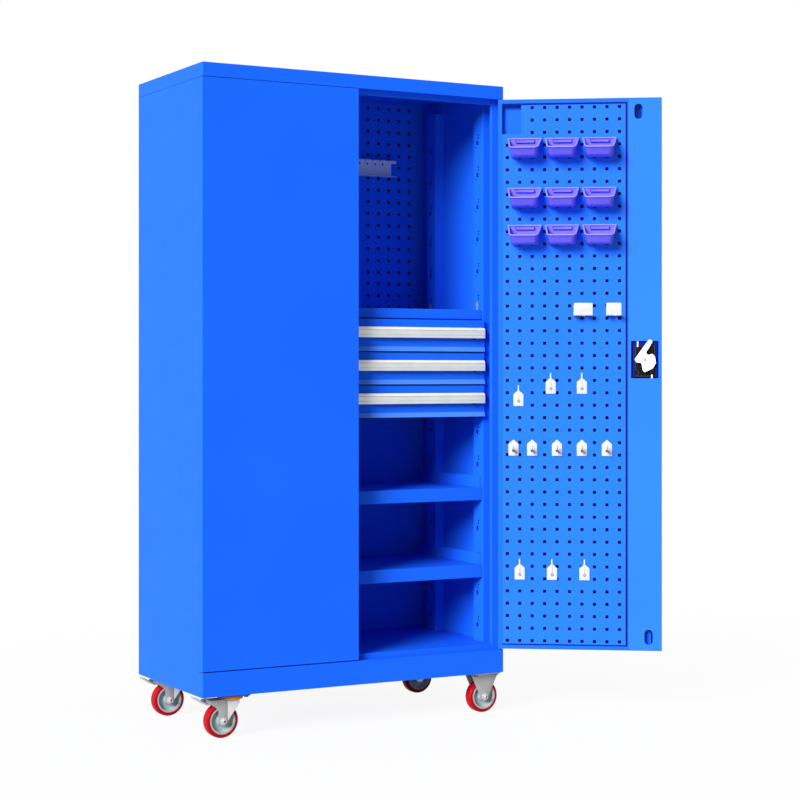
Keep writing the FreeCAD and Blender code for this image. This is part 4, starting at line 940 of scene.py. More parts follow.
@dataclass
class Hooks:
    """Hooks on the right door's panel, each a pointed plate with a bent pin.

    Each kind has its reach, the height of its tip and its places, as columns and rows of the panel.
    """

    kinds: Sequence[tuple[float, float, Sequence[Pair]]] = (
        (0.040, 0.012, ((0.5, 16), (2, 16), (4, 16), (6, 16), (8, 16))),
        (0.016, 0.046, ((0.9, 20), (3.5, 21), (6, 21), (1, 6), (3.6, 6), (6.2, 6))))
    plate_half: float = 0.0155
    plate_height: float = 0.050
    plate_depth: float = 0.003
    plate_easing: float = 0.0006
    plate_radii: Sequence[float] = (0.002, 0.002, 0.003, 0.003, 0.003)
    shoulder: float = 0.014
    pin_radius: float = 0.0032
    pin_drop: float = 0.034
    sunk: float = 0.0004
    bend: float = 0.006
    tip_rise: float = 0.7
    tip_share: float = 0.55
    collar: Sequence[Pair] = ((0.0005, 0), (0.0052, 0), (0.0046, 0.0018), (0.0005, 0.0018))

    def build(self) -> None:
        """Makes one hook of each kind and copies it to its places."""
        plates, pins = [], []
        for reach, rise, places in self.kinds:
            moves = [Matrix.Translation((-across, 0, top))
                     for across, top in (DOOR.hung(*place) for place in places)]
            plates += Bench.repeat(self.make_plate(), moves)
            pins += Bench.repeat(self.make_pin(reach, rise), moves)
        for name, parts, finish in (("plates", plates, Finish.WHITE), ("pins", pins, Finish.ZINC)):
            Bench.fit(f"tool_hook_{name}", parts, Body.RIGHT_DOOR, finish, Slot.WHITE, "tool_hooks")

    def make_plate(self) -> Object:
        """One pointed plate, its top at no height and its middle at the hinge edge."""
        half, foot, shoulder = self.plate_half, -self.plate_height, -self.shoulder
        corners = ((-half, foot), (half, foot), (half, shoulder), (0, 0), (-half, shoulder))
        return Bench.slab("hook_plate", rounded(corners, self.plate_radii), DOOR.layer(DOOR.inner_face),
                          (0, self.plate_depth, 0), self.plate_easing)

    def make_pin(self, reach: float, rise: float) -> Object:
        """One bent pin with a collar and a rounded tip.

        Args:
            reach: how far it stands out from the panel.
            rise: how high its tip is turned up.

        Returns:
            The pin.
        """
        right_angle = math.radians(90)
        x, y, z = DOOR.at(0, DOOR.inner_face + self.plate_depth - self.sunk, -self.pin_drop)
        pin = Bench.begin("pin", bpy.ops.mesh.primitive_circle_add, (x, y, z), vertices=16,
                          radius=self.pin_radius, fill_type="NGON", rotation=(right_angle, 0, 0))
        straight = reach - self.pin_radius - self.bend - self.plate_depth
        with Bench.editing(pin):
            Bench.draw_out((0, straight, 0))
            bpy.ops.mesh.spin(steps=6, angle=right_angle, center=(x, y + straight, z + self.bend),
                              axis=(1, 0, 0))
            Bench.draw_out((0, 0, rise - self.bend))
            Bench.draw_out((0, 0, self.pin_radius * self.tip_rise))
            bpy.ops.transform.resize(value=(self.tip_share, self.tip_share, 1))
            Bench.close()
        collar = Bench.turned("collar", self.collar, (x, y + self.sunk, z), steps=20)
        return Bench.join("hook_pin", [pin, collar])


@dataclass
class PlierRacks:
    """Two small white racks with an open finger for pliers, each with its place and half its width."""

    places: Sequence[tuple[float, float, float]] = ((6.1, 27, 0.029), (8.55, 27, 0.023))
    reach: float = 0.034
    height: float = 0.040
    sheet: float = 0.002
    finger: float = 0.012
    easing: float = 0.0005
    back_radii: Sequence[float] = (0.001, 0.001, 0.004, 0.004)
    tray_radii: Sequence[float] = (0, 0, 0, 0, 0.004, 0.004, 0, 0)
    stop_radii: Sequence[float] = (0, 0, 0.004, 0.002)

    def build(self) -> None:
        """Makes each rack's back, its slotted tray and its two turned-up stops."""
        face, finger, reach, gap = DOOR.inner_face, self.finger, self.reach, self.finger / 2
        parts = []
        for column, row, half in self.places:
            across, top = DOOR.hung(column, row)
            low = top - self.height
            corners = ((-half, 0), (half, 0), (half, reach), (gap, reach), (gap, finger), (-gap, finger),
                       (-gap, reach), (-half, reach))
            parts += [Bench.slab("back", rounded(rectangle(-half, low, half, top), self.back_radii),
                                 DOOR.layer(face, across), (0, self.sheet, 0), self.easing),
                      Bench.slab("tray", rounded(corners, self.tray_radii),
                                 lambda a, n: DOOR.at(across + a, face + n, low), (0, 0, self.sheet),
                                 self.easing)]
            for side in (-1, 1):
                corners = rectangle(side * gap, low, side * half, low + finger)
                parts.append(Bench.slab("stop", rounded(corners, self.stop_radii),
                                        DOOR.layer(face + reach, across), (0, -self.sheet, 0), self.easing))
        Bench.fit("plier_racks_white", parts, Body.RIGHT_DOOR, Finish.WHITE, Slot.WHITE, "plier_racks")


@dataclass
class Bins:
    """Nine violet bins with a rolled rim, a low front and a grip inside the back."""

    back_half: float = 0.050
    front_half: float = 0.0415
    height: float = 0.061
    front_height: float = 0.025
    depth: float = 0.086
    gap: float = 0.0002
    rounding: float = 0.012
    base_share: Pair = (0.84, 0.74)
    base_bevel: float = 0.006
    wall: float = 0.002
    wall_easing: float = 0.0004
    wall_angle: float = 50.0
    rim: float = 0.003
    rim_easing: float = 0.0009
    grip_half: float = 0.029
    grip_in: float = 0.0012
    grip_reach: float = 0.0095
    grip_low: float = 0.014
    grip_high: float = 0.0035
    grip_border: float = 0.0022
    grip_hollow: float = 0.005
    grip_easing: float = 0.0006
    first_across: float = 0.082
    across_pitch: float = 0.114
    top_row: float = 1.85775
    above_hole: float = 0.020
    rows: Sequence[tuple[str, int]] = (("top", 3), ("middle", 7), ("bottom", 10))
    columns: int = 3

    def build(self) -> None:
        """Makes one bin and copies it to its nine places."""
        for pattern, part, finish in ((self.make_shell(), "shells", Finish.VIOLET),
                                      (self.make_rim(), "rims", Finish.VIOLET_RIM)):
            moves = [Matrix.Translation((-self.first_across - column * self.across_pitch, 0,
                                         self.top_row - row * DOOR.pitch + self.above_hole - self.height))
                     for _, row in self.rows for column in range(self.columns)]
            twins = Bench.repeat(pattern, moves)
            for index, (name, _) in enumerate(self.rows):
                row = twins[index * self.columns:(index + 1) * self.columns]
                Bench.fit(f"bins_{name}_{part}", row, Body.RIGHT_DOOR, finish, Slot.VIOLET,
                          f"bins_{name}_row")

    def place(self, across: float, inwards: float) -> Point:
        """A place on the bin's sloping mouth, its base at no height."""
        slope = (self.height - self.front_height) / self.depth
        return DOOR.at(across, DOOR.inner_face + self.gap + inwards, self.height - slope * inwards)

    def mouth(self, spare: float) -> list[Pair]:
        """The outline of the mouth, wider at its sides and front by the spare width."""
        half, front, depth = self.back_half + spare, self.front_half + spare, self.depth + spare
        radius = self.rounding + spare
        return rounded(((-half, 0), (half, 0), (front, depth), (-front, depth)), (0, 0, radius, radius))

    def make_shell(self) -> Object:
        """One bin's thin walls and base, with the grip inside its back."""
        shell = Bench.blank("shell", self.mouth(0), self.place)
        with Bench.editing(shell):
            Bench.draw_out((0, 0, 0))
            bpy.ops.transform.resize(value=(*self.base_share, 0),
                                     center_override=(*self.place(0, 0)[:2], 0))
            bpy.ops.mesh.bevel(offset=self.base_bevel, segments=3, affect="EDGES")
            bpy.ops.mesh.select_all(action="SELECT")
            bpy.ops.mesh.normals_make_consistent(inside=False)
        with Bench.editing(shell) as shape:
            Bench.choose(shape.faces, lambda face: face.normal.z > 0.6)
            bpy.ops.mesh.delete(type="FACE")
        Bench.apply(shell, "SOLIDIFY", thickness=self.wall, offset=-1)
        x, y, _ = self.place(0, self.grip_in)
        grip = Bench.box("grip", (x - self.grip_half, y, self.height - self.grip_low),
                         (x + self.grip_half, y + self.grip_reach, self.height - self.grip_high))
        with Bench.editing(grip) as shape:
            Bench.choose(shape.faces, lambda face: face.normal.y > 0.9)
            bpy.ops.mesh.inset(thickness=self.grip_border)
            bpy.ops.transform.translate(value=(0, -self.grip_hollow, 0))
            Bench.close()
        Bench.ease(shell, self.wall_easing, 1, self.wall_angle)
        Bench.ease(grip, self.grip_easing)
        return Bench.join("bin", [shell, grip])

    def make_rim(self) -> Object:
        """One bin's rolled rim, lying round its sloping mouth, in a lighter violet as a painted highlight."""
        rim = Bench.hoop("rim", self.mouth(self.rim), self.place, self.rim + self.wall, self.rim)
        Bench.ease(rim, self.rim_easing)
        return rim


@dataclass
class Drawers:
    """Three drawers, each with a full-width pull folded from one strip."""

    count: int = 3
    left: float = 0.012
    right: float = 0.4662
    face: float = -0.192
    top: float = 1.183
    low: float = 1.151
    pitch: float = 0.100
    reach: float = 0.016
    wall: float = 0.002
    slope_drop: float = 0.007
    slope_depth: float = 0.011
    lip: float = 0.004
    cap_width: float = 0.0065
    cap_radii: Sequence[float] = (0, 0, 0.004, 0.004, 0.0015)
    cap_easing: float = 0.0012
    overlap: float = 0.0003
    grooves: Sequence[Pair] = ((0.0016, 0.0016), (0.0165, 0.0011))
    groove_share: float = 0.7
    fold_share: float = 0.4
    strip_radii: Sequence[float] = (0, 0, 0.003, 0.003, 0, 0, 0, 0, 0, 0, 0.0008, 0, 0, 0.0006, 0.001,
                                    0.001, 0.0006, 0)
    strip_easing: float = 0.00015
    strip_angle: float = 25.0
    edge_skin: float = 0.0003
    edge_turn: float = 0.001
    edge_drop: float = 0.0004
    edge_easing: float = 0.0002
    foot: Pair = (1.1104, 1.1270)
    foot_top: float = 1.1243
    lean: float = 0.0048
    latch: Pair = (0.416, 0.428)
    latch_drop: float = 0.0042
    latch_in: float = 0.0005
    latch_easing: float = 0.0006
    # A black strip under each drawer front: painted shade in the gap between drawers.
    shade_strip: Pair = (0.0035, 0.010)
    shade_strip_drop: float = 0.0028
    shade_strip_inset: float = 0.002
    shade_strip_easing: float = 0.0004

    def __post_init__(self) -> None:
        """Works out the pull's face, the upper edge of its slope and the lower one."""
        self.front = self.face - self.reach
        self.edge = self.face - self.slope_depth
        self.slope = self.top - self.slope_drop

    def build(self) -> None:
        """Makes the first drawer's fittings, copies them to the others and dresses the drawers."""
        moves = [Matrix.Translation((0, 0, -number * self.pitch)) for number in range(self.count)]
        for pattern, part, finish, slot, node in (
                (self.make_strip(), "pull", Finish.ALUMINIUM, Slot.ALUMINIUM, "handle"),
                (self.make_caps(), "pull_ends", Finish.BLACK, Slot.BLACK, "handle"),
                (self.make_pull_highlight(), "pull_highlight", Finish.IVORY, Slot.ALUMINIUM, ""),
                (self.make_foot_highlight(), "foot_highlight", Finish.BLUE_SHEEN, Slot.BLUE, ""),
                (self.make_latch_and_gap_shade(), "latch_and_gap_shade", Finish.BLACK, Slot.BLACK, "")):
            for number, twin in enumerate(Bench.repeat(pattern, moves), 1):
                body = f"drawer_{number}"
                nodes = [f"{body}_{node}"] if node else []
                Bench.fit(f"{body}_{part}", [twin], body, finish, slot, *nodes)
        for number in range(1, self.count + 1):
            Finish.BLUE.dress(f"drawer_{number}_box", f"drawer_{number}_front")

    def strip(self, section: Sequence[Pair], inset: float) -> Object:
        """A strip of one section, as depth and height, that runs along the first drawer.

        Args:
            section: the outline of its section.
            inset: how far it stays from both ends of the drawer's front.

        Returns:
            The strip.
        """
        start = self.left + inset
        return Bench.slab("strip", section, lambda y, z: (start, y, z), (self.right - inset - start, 0, 0))

    def make_foot_highlight(self) -> Object:
        """A painted highlight on the first drawer's foot, where its front leans forward."""
        low, knee = self.foot
        skin, lower = self.edge_skin, self.face - self.lean
        upper = self.face - self.lean * (knee - self.foot_top) / (knee - low)
        return self.strip(((lower - skin, low), (upper - skin, self.foot_top),
                           (upper + skin, self.foot_top), (lower + skin, low)), 0)

    def make_pull_highlight(self) -> Object:
        """A painted highlight: a bright strip over the bevelled edge along the top of the first drawer's
        pull.
        """
        skin, turn, drop, front = self.edge_skin, self.edge_turn, self.edge_drop, self.front
        edge = self.strip(((self.edge + turn, self.top - drop), (self.edge, self.top + skin),
                           (front - skin, self.slope + skin), (front - skin, self.slope - 2 * skin),
                           (front + turn, self.slope - drop)), self.cap_width)
        Bench.ease(edge, self.edge_easing, 1)
        return edge

    def make_latch_and_gap_shade(self) -> Object:
        """The first drawer's black latch tab under its pull, and a black strip under its front that is
        painted shade for the gap below it.
        """
        start, end = self.latch
        latch = Bench.box("latch", (start, self.front + self.latch_in, self.low - self.latch_drop),
                          (end, self.front + self.lip, self.low + self.edge_drop))
        Bench.ease(latch, self.latch_easing)
        (before, behind), foot = self.shade_strip, self.foot[0]
        shade_strip = self.strip(rectangle(self.face - before, foot - self.shade_strip_drop, self.face + behind, foot),
                          self.shade_strip_inset)
        Bench.ease(shade_strip, self.shade_strip_easing)
        return Bench.join("latch_and_gap_shade", [latch, shade_strip])

    def make_strip(self) -> Object:
        """The first drawer's pull: a folded strip with two fine grooves along its face."""
        wall, face, front, low, fold = self.wall, self.face, self.front, self.low, self.wall * self.fold_share
        hem = low + (self.top - low) / 3
        section = [(face, hem), (face, self.top), (self.edge, self.top), (front, self.slope)]
        for drop, deep in self.grooves:
            level, half = self.slope - drop, deep * self.groove_share
            section += [(front, level + half), (front + deep, level), (front, level - half)]
        section += [(front, low), (front + self.lip, low), (front + self.lip, low + wall),
                    (front + wall, low + wall), (front + wall, self.slope - fold),
                    (self.edge + fold, self.top - wall), (face - wall, self.top - wall), (face - wall, hem)]
        strip = self.strip(rounded(section, self.strip_radii), self.cap_width - self.overlap)
        Bench.ease(strip, self.strip_easing, 1, self.strip_angle)
        return strip

    def make_caps(self) -> Object:
        """The two moulded ends of the first drawer's pull."""
        outline = rounded(((self.face, self.low), (self.face, self.top), (self.edge, self.top),
                           (self.front, self.slope), (self.front, self.low)), self.cap_radii)
        return Bench.join("pull_ends", [
            Bench.slab("pull_end", outline, lambda y, z: (start, y, z), (self.cap_width, 0, 0),
                       self.cap_easing, 3)
            for start in (self.left, self.right - self.cap_width)])


@dataclass
class ScrewdriverRack:
    """The slotted rack that hangs high on the rear panel."""

    left: float = 0.173
    face: float = 0.235
    front: float = 0.198
    top: float = 1.73375
    low: float = 1.68175
    tabs: int = 7
    pitch: float = 0.028
    slot_width: float = 0.006
    slot_length: float = 0.032
    notch: float = 0.014
    drop: float = 0.011
    sheet: float = 0.0015
    easing: float = 0.0003
    slot_rounding: float = 0.0025
    tab_rounding: float = 0.003
    hole_radius: float = 0.005

    def comb(self, far: float, near: float, end: float) -> list[Pair]:
        """An outline as long as the rack, with a slot after every tab but the last.

        Args:
            far: where its plain edge is.
            near: where its slotted edge is.
            end: where the slots end.

        Returns:
            Its corners.
        """
        corners = [(self.left, far), (self.left, near)]
        for tab in range(1, self.tabs):
            stop = self.left + tab * self.pitch
            start = stop - self.slot_width
            corners += [(start, near), (start, end), (stop, end), (stop, near)]
        right = self.left + self.tabs * self.pitch
        return corners + [(right, near), (right, far)]

    def build(self) -> None:
        """Makes the rack from its back, its slotted top, its bored tray and its front tabs."""
        front, top, low, sheet = self.front, self.top, self.low, self.sheet
        radii = [0, 0] + [0, self.slot_rounding, self.slot_rounding, 0] * (self.tabs - 1) + [0, 0]
        corners = rounded(self.comb(self.face, front, front + self.slot_length), radii)
        parts = [Bench.slab("rack_top", corners, lambda x, y: (x, y, top), (0, 0, -sheet)),
                 Bench.slab("rack_back", self.comb(low, top, top - self.notch),
                            lambda x, z: (x, self.face, z), (0, -sheet, 0))]
        tray = Bench.slab("rack_tray", rectangle(self.left, front, self.left + self.tabs * self.pitch,
                                                 self.face), lambda x, y: (x, y, low), (0, 0, sheet))
        tools = []
        for tab in range(self.tabs):
            start = self.left + tab * self.pitch
            middle = start + self.pitch - self.slot_width
            end = middle if tab + 1 < self.tabs else start + self.pitch
            corners = rounded(rectangle(start, top - self.drop, end, top),
                              (self.tab_rounding, self.tab_rounding, 0, 0))
            parts.append(Bench.slab("rack_tab", corners, lambda x, z: (x, front, z), (0, sheet, 0)))
            tools.append(Bench.turned("rack_drill", rectangle(0, 0, self.hole_radius, 3 * sheet),
                                      (middle, (front + self.face) / 2, low - sheet), (0, 0, 1), 24))
        drills = Bench.join("rack_drills", tools)
        Bench.apply(tray, "BOOLEAN", operation="DIFFERENCE", solver="EXACT", object=drills)
        bpy.data.objects.remove(drills)
        for part in parts + [tray]:
            Bench.ease(part, self.easing, 1)
        Bench.fit("driver_rack", parts + [tray], Body.CABINET, Finish.LILAC, Slot.WHITE, "screwdriver_rack")


@dataclass
class Wheels:
    """Four red treads on dished grey hubs."""

    radius: float = 0.050
    half: float = 0.016
    inner: float = 0.039
    flat_share: float = 0.62
    shoulder: float = 0.0035
    tread_radii: Sequence[float] = (0.001, 0.004, 0.005, 0.005, 0.004, 0.001)
    hub_gap: float = 0.0003
    lip: float = 0.005
    web: float = 0.0035
    boss_radius: float = 0.013
    boss_half: float = 0.018
    bore: float = 0.0053
    bevel: float = 0.001
    dish: float = 0.004
    dish_width: float = 0.005
    dish_radii: Sequence[float] = (0, 0, 0, 0.003, 0.003, 0.003, 0.003, 0, 0, 0)
    places: Sequence[tuple[str, float, float]] = (
        ("front_left", -0.424, -0.203), ("rear_left", -0.424, 0.203),
        ("front_right", 0.448, -0.203), ("rear_right", 0.448, 0.203))

    def build(self) -> None:
        """Makes one wheel and copies it to each caster."""
        moves = [Matrix.Translation((x, y, self.radius)) for _, x, y in self.places]
        for pattern, part, finish, slot, node in (
                (self.make_tread(), "tread", Finish.RED, Slot.RED, "tyre"),
                (self.make_hub(), "wheel_hub", Finish.HUB, Slot.HUB, "hub")):
            for (name, _, _), twin in zip(self.places, Bench.repeat(pattern, moves)):
                Bench.fit(f"{name}_{part}", [twin], f"{name}_wheel", finish, slot, f"{name}_{node}")

    def make_tread(self) -> Object:
        """The tread's rounded ring round the middle of the axle."""
        inner, radius, half, flat = self.inner, self.radius, self.half, self.half * self.flat_share
        edge = radius - self.shoulder
        section = ((inner, -half), (edge, -half), (radius, -flat), (radius, flat), (edge, half),
                   (inner, half))
        return Bench.turned("tread", rounded(section, self.tread_radii), (0, 0, 0), steps=96)

    def make_hub(self) -> Object:
        """The hub: a rim lip, a dished web on both sides and a boss round the bore."""
        rim = self.inner - self.hub_gap
        inner, half, web, boss, bevel = rim - self.lip, self.half, self.web, self.boss_half, self.bevel
        core, deep = self.boss_radius, self.web + self.dish
        side = [(self.bore, -boss), (core - bevel, -boss), (core, -boss + bevel), (core + bevel, -deep),
                (core + self.dish_width, -web), (inner - self.dish_width, -web), (inner - bevel, -deep),
                (inner, -half + bevel), (inner + bevel, -half), (rim, -half)]
        section = side + [(radius, -offset) for radius, offset in reversed(side)]
        radii = [*self.dish_radii, *reversed(self.dish_radii)]
        return Bench.turned("hub", rounded(section, radii, 3), (0, 0, 0), steps=96)


@dataclass
class Casters:
    """Two braked swivel casters on the left and two fixed ones on the right.

    Sections are given as radius and offset, and each has its roundings beside it. The back of a swivel
    fork is given as places along, drops from its top and roundings.
    """

    axle: float = 0.050
    rows: Sequence[tuple[str, float]] = (("front", -0.203), ("rear", 0.203))
    swivel_x: float = -0.394
    wheel_x: float = -0.424
    rigid_x: float = 0.448
    inner: float = 0.0183
    sheet: float = 0.003
    easing: float = 0.0005
    leg: float = 0.0145
    foot: float = 0.0143
    foot_rounding: float = 0.0138
    flare: float = 0.0085
    nose_x: float = -0.377
    fold_x: float = -0.411
    fork_top: float = 0.1115
    fork_back: Sequence[tuple[float, float, float]] = (
        (-0.4107, 0, 0), (-0.477, 0, 0.002), (-0.477, 0.005, 0.002), (-0.4485, 0.020, 0.006),
        (-0.4385, 0.034, 0.008))
    nose_drop: float = 0.010
    nose_width: float = 0.0012
    nose_radii: Sequence[float] = (0, 0, 0, 0.004, 0.002)
    crown: Sequence[Pair] = ((0.0063, 0.1065), (0.027, 0.1065), (0.031, 0.1095), (0.034, 0.1105),
                             (0.034, 0.1165), (0.0063, 0.1165))
    crown_radii: Sequence[float] = (0, 0.002, 0.001, 0.0015, 0.0015, 0)
    ring: Sequence[Pair] = ((0.0274, 0.1168), (0.0352, 0.1168), (0.0352, 0.1122), (0.0368, 0.1122),
                            (0.0368, 0.121), (0.0274, 0.121))
    ring_radii: Sequence[float] = (0, 0, 0, 0.0008, 0, 0)
    rivet: Sequence[Pair] = ((0, 0), (0.0042, 0), (0.0038, 0.0012), (0, 0.0016))
    rivet_radii: Sequence[float] = (0, 0, 0.0008, 0)
    rivet_place: Pair = (-0.4436, 0.1015)
    washer: Sequence[Pair] = ((0, 0), (0.0105, 0), (0.0105, 0.0015), (0, 0.0015))
    washer_radii: Sequence[float] = (0, 0.0003, 0.0004, 0)
    axle_nut: Pair = (0.0175, 0.0075)
    nut_out: float = 0.0014
    end_out: float = 0.0088
    axle_end: Sequence[Pair] = ((0, 0), (0.0056, 0), (0.0056, 0.0032), (0.0036, 0.0032),
                                (0.0034, 0.0004), (0, 0.0004))
    axle_end_radii: Sequence[float] = (0, 0, 0.0008, 0.0003, 0, 0)
    axle_hole_shade: Sequence[Pair] = ((0, 0.0002), (0.0035, 0.0002), (0.0033, 0.0010), (0, 0.0010))
    axle_radius: float = 0.005
    plate_low: float = 0.121
    plate_high: float = 0.125
    plate_half: Pair = (0.046, 0.044)
    plate_rounding: float = 0.006
    plate_easing: float = 0.0006
    cheek_high: float = 0.122
    cheek_knee: float = 0.117
    cheek_radii: Pair = (0.004, 0.02)
    bolt_spread: Pair = (0.037, 0.030)
    bolt_head: Pair = (0.013, 0.0053)
    bolt_end: float = 0.128
    bolt_radius: float = 0.004
    pedal_pivot: Pair = (-0.462, 0.109)
    pedal_spine: Sequence[Pair] = ((-0.456, 0.104), (-0.468, 0.1005), (-0.4735, 0.101), (-0.509, 0.1215))
    pedal_half: float = 0.015
    pedal_lip: float = 0.0038
    pedal_lip_width: float = 0.002
    pedal_sheet: float = 0.0025
    pin: Pair = (0.003, 0.0213)

    def build(self) -> None:
        """Makes every caster's fork, axle, pedal, ring and bolts."""
        Finish.DARK_STEEL.dress("swivel_top_plates")
        rings = []
        for end, y in self.rows:
            self.make_swivel(end, y)
            self.make_pedal(end, y)
            rings.append(Bench.turned("ring", rounded(self.ring, self.ring_radii), (self.swivel_x, y, 0),
                                      (0, 0, 1)))
        Bench.fit("dust_rings", rings, Body.CABINET, Finish.ORANGE, Slot.ORANGE, "swivel_dust_rings")
        self.make_rigid()
        self.make_bolts()

    def fit_axles(self, name: str, body: Body | str, places: Sequence[Pair]) -> None:
        """Makes axles with a washer, a nut and a drilled end on both sides, a dark disc in each drilled end
        as painted shade, and fits them to a body.

        Args:
            name: the name of their piece.
            body: the body they ride on.
            places: the place along of each axle and the middle of its wheel.
        """
        outer = self.inner + self.sheet
        bright, dark = [], []
        for x, y in places:
            for side in (-1, 1):
                way = (0, side, 0)
                face, nut, end = ((x, y + side * (outer + out), self.axle)
                                  for out in (0, self.nut_out, self.end_out))
                bright += [Bench.turned("washer", rounded(self.washer, self.washer_radii), face, way, 40),
                           Bench.nut(nut, way, *self.axle_nut),
                           Bench.turned("axle_end", rounded(self.axle_end, self.axle_end_radii), end, way,
                                        24)]
                # A dark disc at the bottom of each drilled end: painted shade in the hole.
                dark.append(Bench.turned("axle_hole_shade", self.axle_hole_shade, end, way, 24))
            bright.append(Bench.turned("axle", rectangle(0, -outer, self.axle_radius, outer),
                                       (x, y, self.axle), steps=24))
        Bench.fit(name, bright, body, Finish.POLISHED, Slot.ZINC)
        Bench.fit(f"{name}_hole_shades", dark, body, Finish.DARK_STEEL, Slot.ZINC)

    def cheeks(self, corners: Sequence[Pair], radii: Sequence[float], y: float,
               lean: Callable[[float], float] = lambda x: 0.0) -> list[Object]:
        """The pair of matching cheeks at both sides of a wheel.

        Args:
            corners: their outline, along and up.
            radii: the rounding of each corner.
            y: the middle of the wheel.
            lean: how far the sheet leans outwards at a place along.

        Returns:
            Both cheeks.
        """
        return [Bench.slab("cheek", rounded(corners, radii),
                           lambda x, z: (x, y + side * (self.inner + lean(x)), z),
                           (0, side * self.sheet, 0), self.easing) for side in (-1, 1)]

    def make_swivel(self, end: str, y: float) -> None:
        """A swivel fork: crown, cheeks with a flared nose in a brighter zinc as a painted highlight, rivets
        and axle.
        """
        x, axle, leg, foot, top = self.wheel_x, self.axle, self.leg, self.foot, self.fork_top
        name, body = f"{end}_left", f"{end}_left_swivel"
        corners = [(x - leg, axle), (x - foot, axle - foot), (x + foot, axle - foot), (x + leg, axle)]
        corners += [(place, top - drop) for place, drop, _ in self.fork_back]
        radii = [0, self.foot_rounding, self.foot_rounding, 0] + [radius for _, _, radius in self.fork_back]
        parts = self.cheeks(corners, radii, y)
        parts.append(Bench.turned("crown", rounded(self.crown, self.crown_radii), (self.swivel_x, y, 0),
                                  (0, 0, 1)))
        head = rounded(self.rivet, self.rivet_radii)
        for side in (-1, 1):
            for along, up in (self.rivet_place, self.pedal_pivot):
                face = (along, y + side * (self.inner + self.sheet), up)
                parts.append(Bench.turned("rivet", head, face, (0, side, 0), 24))
        Bench.fit(f"{name}_swivel_fork", parts, body, Finish.ZINC, Slot.ZINC, f"{name}_fork")
        # The flared noses take the brighter zinc as a painted highlight.
        slope = self.flare / (self.nose_x - self.fold_x)
        nose = ((self.fold_x, top), (x + leg - self.nose_width, axle), (x + leg, axle),
                (self.nose_x, top - self.nose_drop), (self.nose_x, top))
        flares = self.cheeks(nose, self.nose_radii, y, lambda place: max(0.0, place - self.fold_x) * slope)
        Bench.fit(f"{name}_fork_flares", flares, body, Finish.BRIGHT_ZINC, Slot.ZINC)
        self.fit_axles(f"{name}_axle", body, [(x, y)])

    def make_pedal(self, end: str, y: float) -> None:
        """A brake pedal: a bent plate with turned-down sides, on its pin."""
        half, lip = self.pedal_half, self.pedal_half - self.pedal_lip_width
        parts = []
        for low, start, stop in ((0.0, -half, half), (self.pedal_lip, -lip, -half),
                                 (self.pedal_lip, lip, half)):
            section = [(along, up - low) for along, up in self.pedal_spine]
            section += [(along, up + self.pedal_sheet) for along, up in reversed(self.pedal_spine)]
            parts.append(Bench.slab("pedal", section, lambda along, up: (along, y + start, up),
                                    (0, stop - start, 0), self.easing))
        (x, z), (radius, reach) = self.pedal_pivot, self.pin
        parts.append(Bench.turned("pin", rectangle(0, -reach, radius, reach), (x, y, z), steps=24))
        Bench.fit(f"{end}_left_brake_pedal", parts, f"{end}_left_brake", Finish.BRIGHT_ZINC, Slot.ZINC,
                  f"{end}_left_pedal")

    def make_rigid(self) -> None:
        """Both fixed forks, each a plate with two tapered cheeks and an axle."""
        x, axle, leg, foot, (half, deep) = self.rigid_x, self.axle, self.leg, self.foot, self.plate_half
        knee, taper = self.cheek_radii
        radii = (0, knee, taper, self.foot_rounding)
        parts = []
        for _, y in self.rows:
            side = [(half, self.cheek_high), (half, self.cheek_knee), (leg, axle), (foot, axle - foot)]
            corners = [(x - out, up) for out, up in side] + [(x + out, up) for out, up in reversed(side)]
            parts += self.cheeks(corners, radii + radii[::-1], y)
            outline = rounded(rectangle(x - half, y - deep, x + half, y + deep), [self.plate_rounding] * 4)
            parts.append(Bench.slab("plate", outline, lambda a, b: (a, b, self.plate_low),
                                    (0, 0, self.plate_high - self.plate_low), self.plate_easing))
        Bench.fit("fixed_forks", parts, Body.CABINET, Finish.ZINC, Slot.ZINC, "rigid_forks")
        self.fit_axles("fixed_axles", Body.CABINET, [(x, y) for _, y in self.rows])

    def make_bolts(self) -> None:
        """Six-sided bolt heads under the plates and nuts above them."""
        low, high, (far_x, far_y) = self.plate_low, self.bolt_end, self.bolt_spread
        shank = rectangle(0, 0, self.bolt_radius, high - low)
        spots = [(x + a * far_x, y + b * far_y) for x in (self.swivel_x, self.rigid_x)
                 for _, y in self.rows for a in (-1, 1) for b in (-1, 1)]
        parts = []
        for spot in spots:
            parts += [Bench.nut((*spot, low), (0, 0, -1), *self.bolt_head),
                      Bench.nut((*spot, high), (0, 0, 1), *self.bolt_head),
                      Bench.turned("shank", shank, (*spot, low), (0, 0, 1), 20)]
        Bench.fit("caster_fasteners", parts, Body.CABINET, Finish.DARK_STEEL, Slot.ZINC, "caster_bolts")


# The studio


